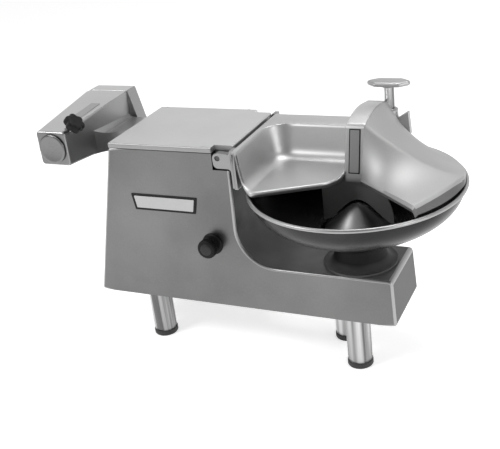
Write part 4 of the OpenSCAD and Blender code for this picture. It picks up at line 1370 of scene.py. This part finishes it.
def sharp_prism(outline, lo, hi, place):
    return prism("cut", outline, lo, hi, 0.01, place, 1)


def hub_neck():
    """The flare from the casing's right side onto the housing, hollow from above and from the front."""
    right = HUB_X + HUB_W / 2
    far = X_LEFT + 90
    r, turn = NECK_FLARE
    front = [(HUB_X, HUB_LOW), (far, HUB_LOW - 8), (far, NECK_TOP)]
    front += arc((right + r, NECK_TOP + r), r, 270, 180, 24) + [(HUB_X, NECK_TOP + r)]
    plan = [(HUB_X, NECK_FRONT - turn)] + arc((right - 2 + turn, NECK_FRONT - turn), turn, 180, 90, 32)
    plan += [(far, NECK_FRONT), (far, HUB_BACK - 10), (HUB_X, HUB_BACK - 10)]
    side = [(HUB_FRONT, HUB_Z - HUB_W / 2 - 1), (HUB_BACK, HUB_LOW), (HUB_BACK, HUB_Z + HUB_W),
            (HUB_FRONT, HUB_Z + HUB_W)]
    neck = sharp_prism(front, HUB_FRONT, HUB_BACK, along_y)
    combine(neck, sharp_prism(plan, HUB_Z - HUB_W, HUB_Z + HUB_W, along_z), "INTERSECT")
    return combine(neck, sharp_prism(side, HUB_X - 10, far + 10, along_x), "INTERSECT")


def build_hub_casing():
    """A square front that grows into a wider back, with the socket, the shaft's bore and a screw's hole."""
    half = HUB_W / 2
    left = -HUB_FAR + 3
    high = half + 1
    square = rounded([(-half, -high, 9), (half, -high, 9), (half, high, 9), (-half, high, 9)], 6)
    points = [(HUB_X + u, HUB_FRONT, HUB_Z + v) for u, v in square]
    points += [(x, y, z) for x in (left, left + HUB_W + 32) for y in (HUB_BACK - 8, HUB_BACK + 3)
               for z in (HUB_LOW, HUB_Z + 56)]
    casing = combine(hull_object("hub_body", points, 4.0), hub_neck(), "UNION")
    right = X_LEFT + 400
    wall = [(X_LEFT, BASE_Z), (X_LEFT + HOUSING_H * LEFT_LEAN, TOP_Z), (right, TOP_Z), (right, BASE_Z)]
    cut(casing, sharp_prism(wall, Y_FRONT - REACH, Y_BACK + REACH, along_y))
    depth = HUB_FRONT + SOCKET_DEPTH
    drill(casing, (HUB_X, HUB_FRONT - 5, HUB_Z), (HUB_X, depth, HUB_Z), SOCKET_R, 64)
    drill(casing, (HUB_X, depth - 1, HUB_Z), (HUB_X, BUSHING_END, HUB_Z), BUSHING_BORE_R, 64)
    up = (HUB_X + THUMB_REACH, HUB_SCREW_Y, HUB_Z + THUMB_REACH)
    far = SCREW_OUT * DIAGONAL
    drill(casing, (HUB_X, HUB_SCREW_Y, HUB_Z), up, THUMB_R + FIT, 32)
    drill(casing, (HUB_X + far, HUB_SCREW_Y, HUB_Z + far), up, THUMB_SEAT_R)
    finish(casing, hub_metal, "root", "cast_aluminium", "hub_casing", angle=30)
    # Painted shade on the casing's front face.
    repaint(casing, disc_metal, lambda place, normal: normal.y < -0.9)
    # Painted shade on the faces that look right.
    repaint(casing, arm_and_shade_metal, faces_right)


# Faces that look right, which take painted shade on the hub.
def faces_right(place, normal):
    return normal.x > 0.3


def build_hub_ends():
    """The cover at the back and the round disc over the socket."""
    low = HUB_LOW - 8
    high = HUB_Z + 57
    slab = rounded([(-HUB_FAR, low, 4), (-HUB_FAR + 147, low, 4), (-HUB_FAR + 117, high, 4),
                    (-HUB_FAR + 4, high, 4)], 5)
    rear = prism("hub_rear", slab, HUB_BACK, HUB_BACK + 38, 1.5, along_y, 4)
    finish(rear, hub_metal, "root", "cast_aluminium", "hub_rear_cover", angle=30)
    # Painted shade on the rear cover's right-facing faces.
    repaint(rear, arm_and_shade_metal, faces_right)
    disc = [(0, 0.3), (34, 0.3), (35, 1.2), (35, 3.6), (34.4, 4.8), (33, 5.5), (30, 5.8), (29, 5.5),
            (0, 5.5)]
    turned("hub_disc", disc, (HUB_X, HUB_FRONT, HUB_Z), disc_metal, "hub_cap", "lid_aluminium", "hub_cover",
           axis=(0, -1, 0), segments=96)


build_hub_casing()
build_hub_ends()


def build_thumb():
    """A six-lobed black knob on a bright screw, at 45 degrees through the casing's upper right edge."""
    foot = SCREW_OUT + 17
    levels = [(5, 0), (2.4, 0.6), (0.8, 2.2), (0, 4.6), (0, 14), (0.7, 16.8), (2.2, 18.8), (4.8, 19.8),
              (9, 20), (12, 19.4)]

    def place(u, v, w):
        out = foot + w
        return point(HUB_X + (out + u) * DIAGONAL, HUB_SCREW_Y + v, HUB_Z + (out - u) * DIAGONAL)

    def reach(depth, a):
        lobe = 0.5 + 0.5 * math.cos(6 * a + math.pi)
        return (24 - depth) * (1 - 0.17 * (1 - lobe) ** 1.5)

    knob = rings_object("thumb_grip", knob_rings(place, levels, 120, reach))
    finish(knob, black, "thumb", "black_plastic", "thumb_screw", angle=50)
    start = SOCKET_R + 2
    screw = [(0, start), (THUMB_R - 1, start), (THUMB_R, start + 1), (THUMB_R, foot + 1), (0, foot + 1)]
    turned("thumb_stub", screw, (HUB_X, HUB_SCREW_Y, HUB_Z), bright_metal, "thumb", "leg_steel",
           axis=(1, 0, 1), segments=48)


build_thumb()


def build_hub_label():
    """A bare strip on the hub's sloping top, measured back from the front."""
    edge = rounded([(4.5, 62.5, 2), (29.5, 62.5, 2), (29.5, 171.5, 2), (4.5, 171.5, 2)], 4)
    top = HUB_Z + HUB_W / 2 + 1 - 4 * HUB_SLOPE
    place = on_slope(HUB_X, HUB_FRONT, top, math.pi / 2 - math.atan(HUB_SLOPE))
    finish(prism("hub_strip", edge, 0.1, 1.3, 0.4, place, 3), strip_metal, "root", "badge_metal",
           "hub_label_plate", angle=40)


build_hub_label()


# Stand of the bowl
STAND_H = (RIM_Z - BOWL_DEPTH - DECK_Z) * 0.657
STAND_R = 80.0
STAND_HOLE_R = 13.0


def build_stand():
    profile = [(STAND_HOLE_R, 0), (STAND_R - 0.8, 0), (STAND_R, 0.8), (STAND_R, 3.8), (STAND_R - 1, 5)]
    profile += arc((STAND_R - 4, 25), 20, 270, 182, 11)
    profile += [(52.6, STAND_H - 4), (52, STAND_H - 1.6), (50, STAND_H), (STAND_HOLE_R, STAND_H),
                (STAND_HOLE_R, 0)]
    # Painted shade: the stand darkens upwards towards the bowl.
    turned("stand", profile, (0, 0, DECK_Z), stand_shade_metal, "root", "cast_aluminium", "bowl_pedestal")


build_stand()


# Slotted screws of the lid
def build_lid_screws():
    profile = [(0, 0), (5, 0), (5, 0.25), (4.4, 0.5), (3, 0.7), (0, 0.8)]
    for i, x in enumerate((LID_LEFT + 20, HINGE_X - 33)):
        for j, y in enumerate((LID_FRONT + 6, LID_BACK - 6)):
            head = lathe(f"lid_screw_{i}{j}", profile, (x, y, LID_Z - 0.3), segments=40)
            cut(head, box_object("cut", (x - 6, y - 0.4, LID_Z), (x + 6, y + 0.4, LID_Z + 2)))
            finish(head, lid_metal, "root", "machine_steel", *only_first(i + j, "lid_screws"), angle=40)


build_lid_screws()


# Finish of the pieces that keep their modelled shape
KEPT = {
    cast: ("bottom_cover",),
    bright_metal: ("knife_shaft", "inner_knife", "outer_knife", "hub_spindle", "hub_cross_shaft",
                   "bowl_spindle", "worm_shaft", "motor_rotor", "knife_hub"),
    dark_metal: ("knife_nut", "shaft_bearings", "bowl_bearing", "worm_bearings", "bottom_screws",
                 "motor_pulley", "knife_pulley"),
    motor_paint: ("motor_stator",),
    bronze: ("worm_wheel", "hub_bushing"),
    rubber: ("drive_belt",),
}


def dress(piece, material):
    """Gives a carried-over node its material and small bevels."""
    data = piece.data
    if not data.materials:
        data.materials.append(material)
    for i in range(len(data.materials)):
        data.materials[i] = material
    add_bevel(piece, 0.6, 2, 40)


for material, names in KEPT.items():
    for node in names:
        dress(nodes[node], material)
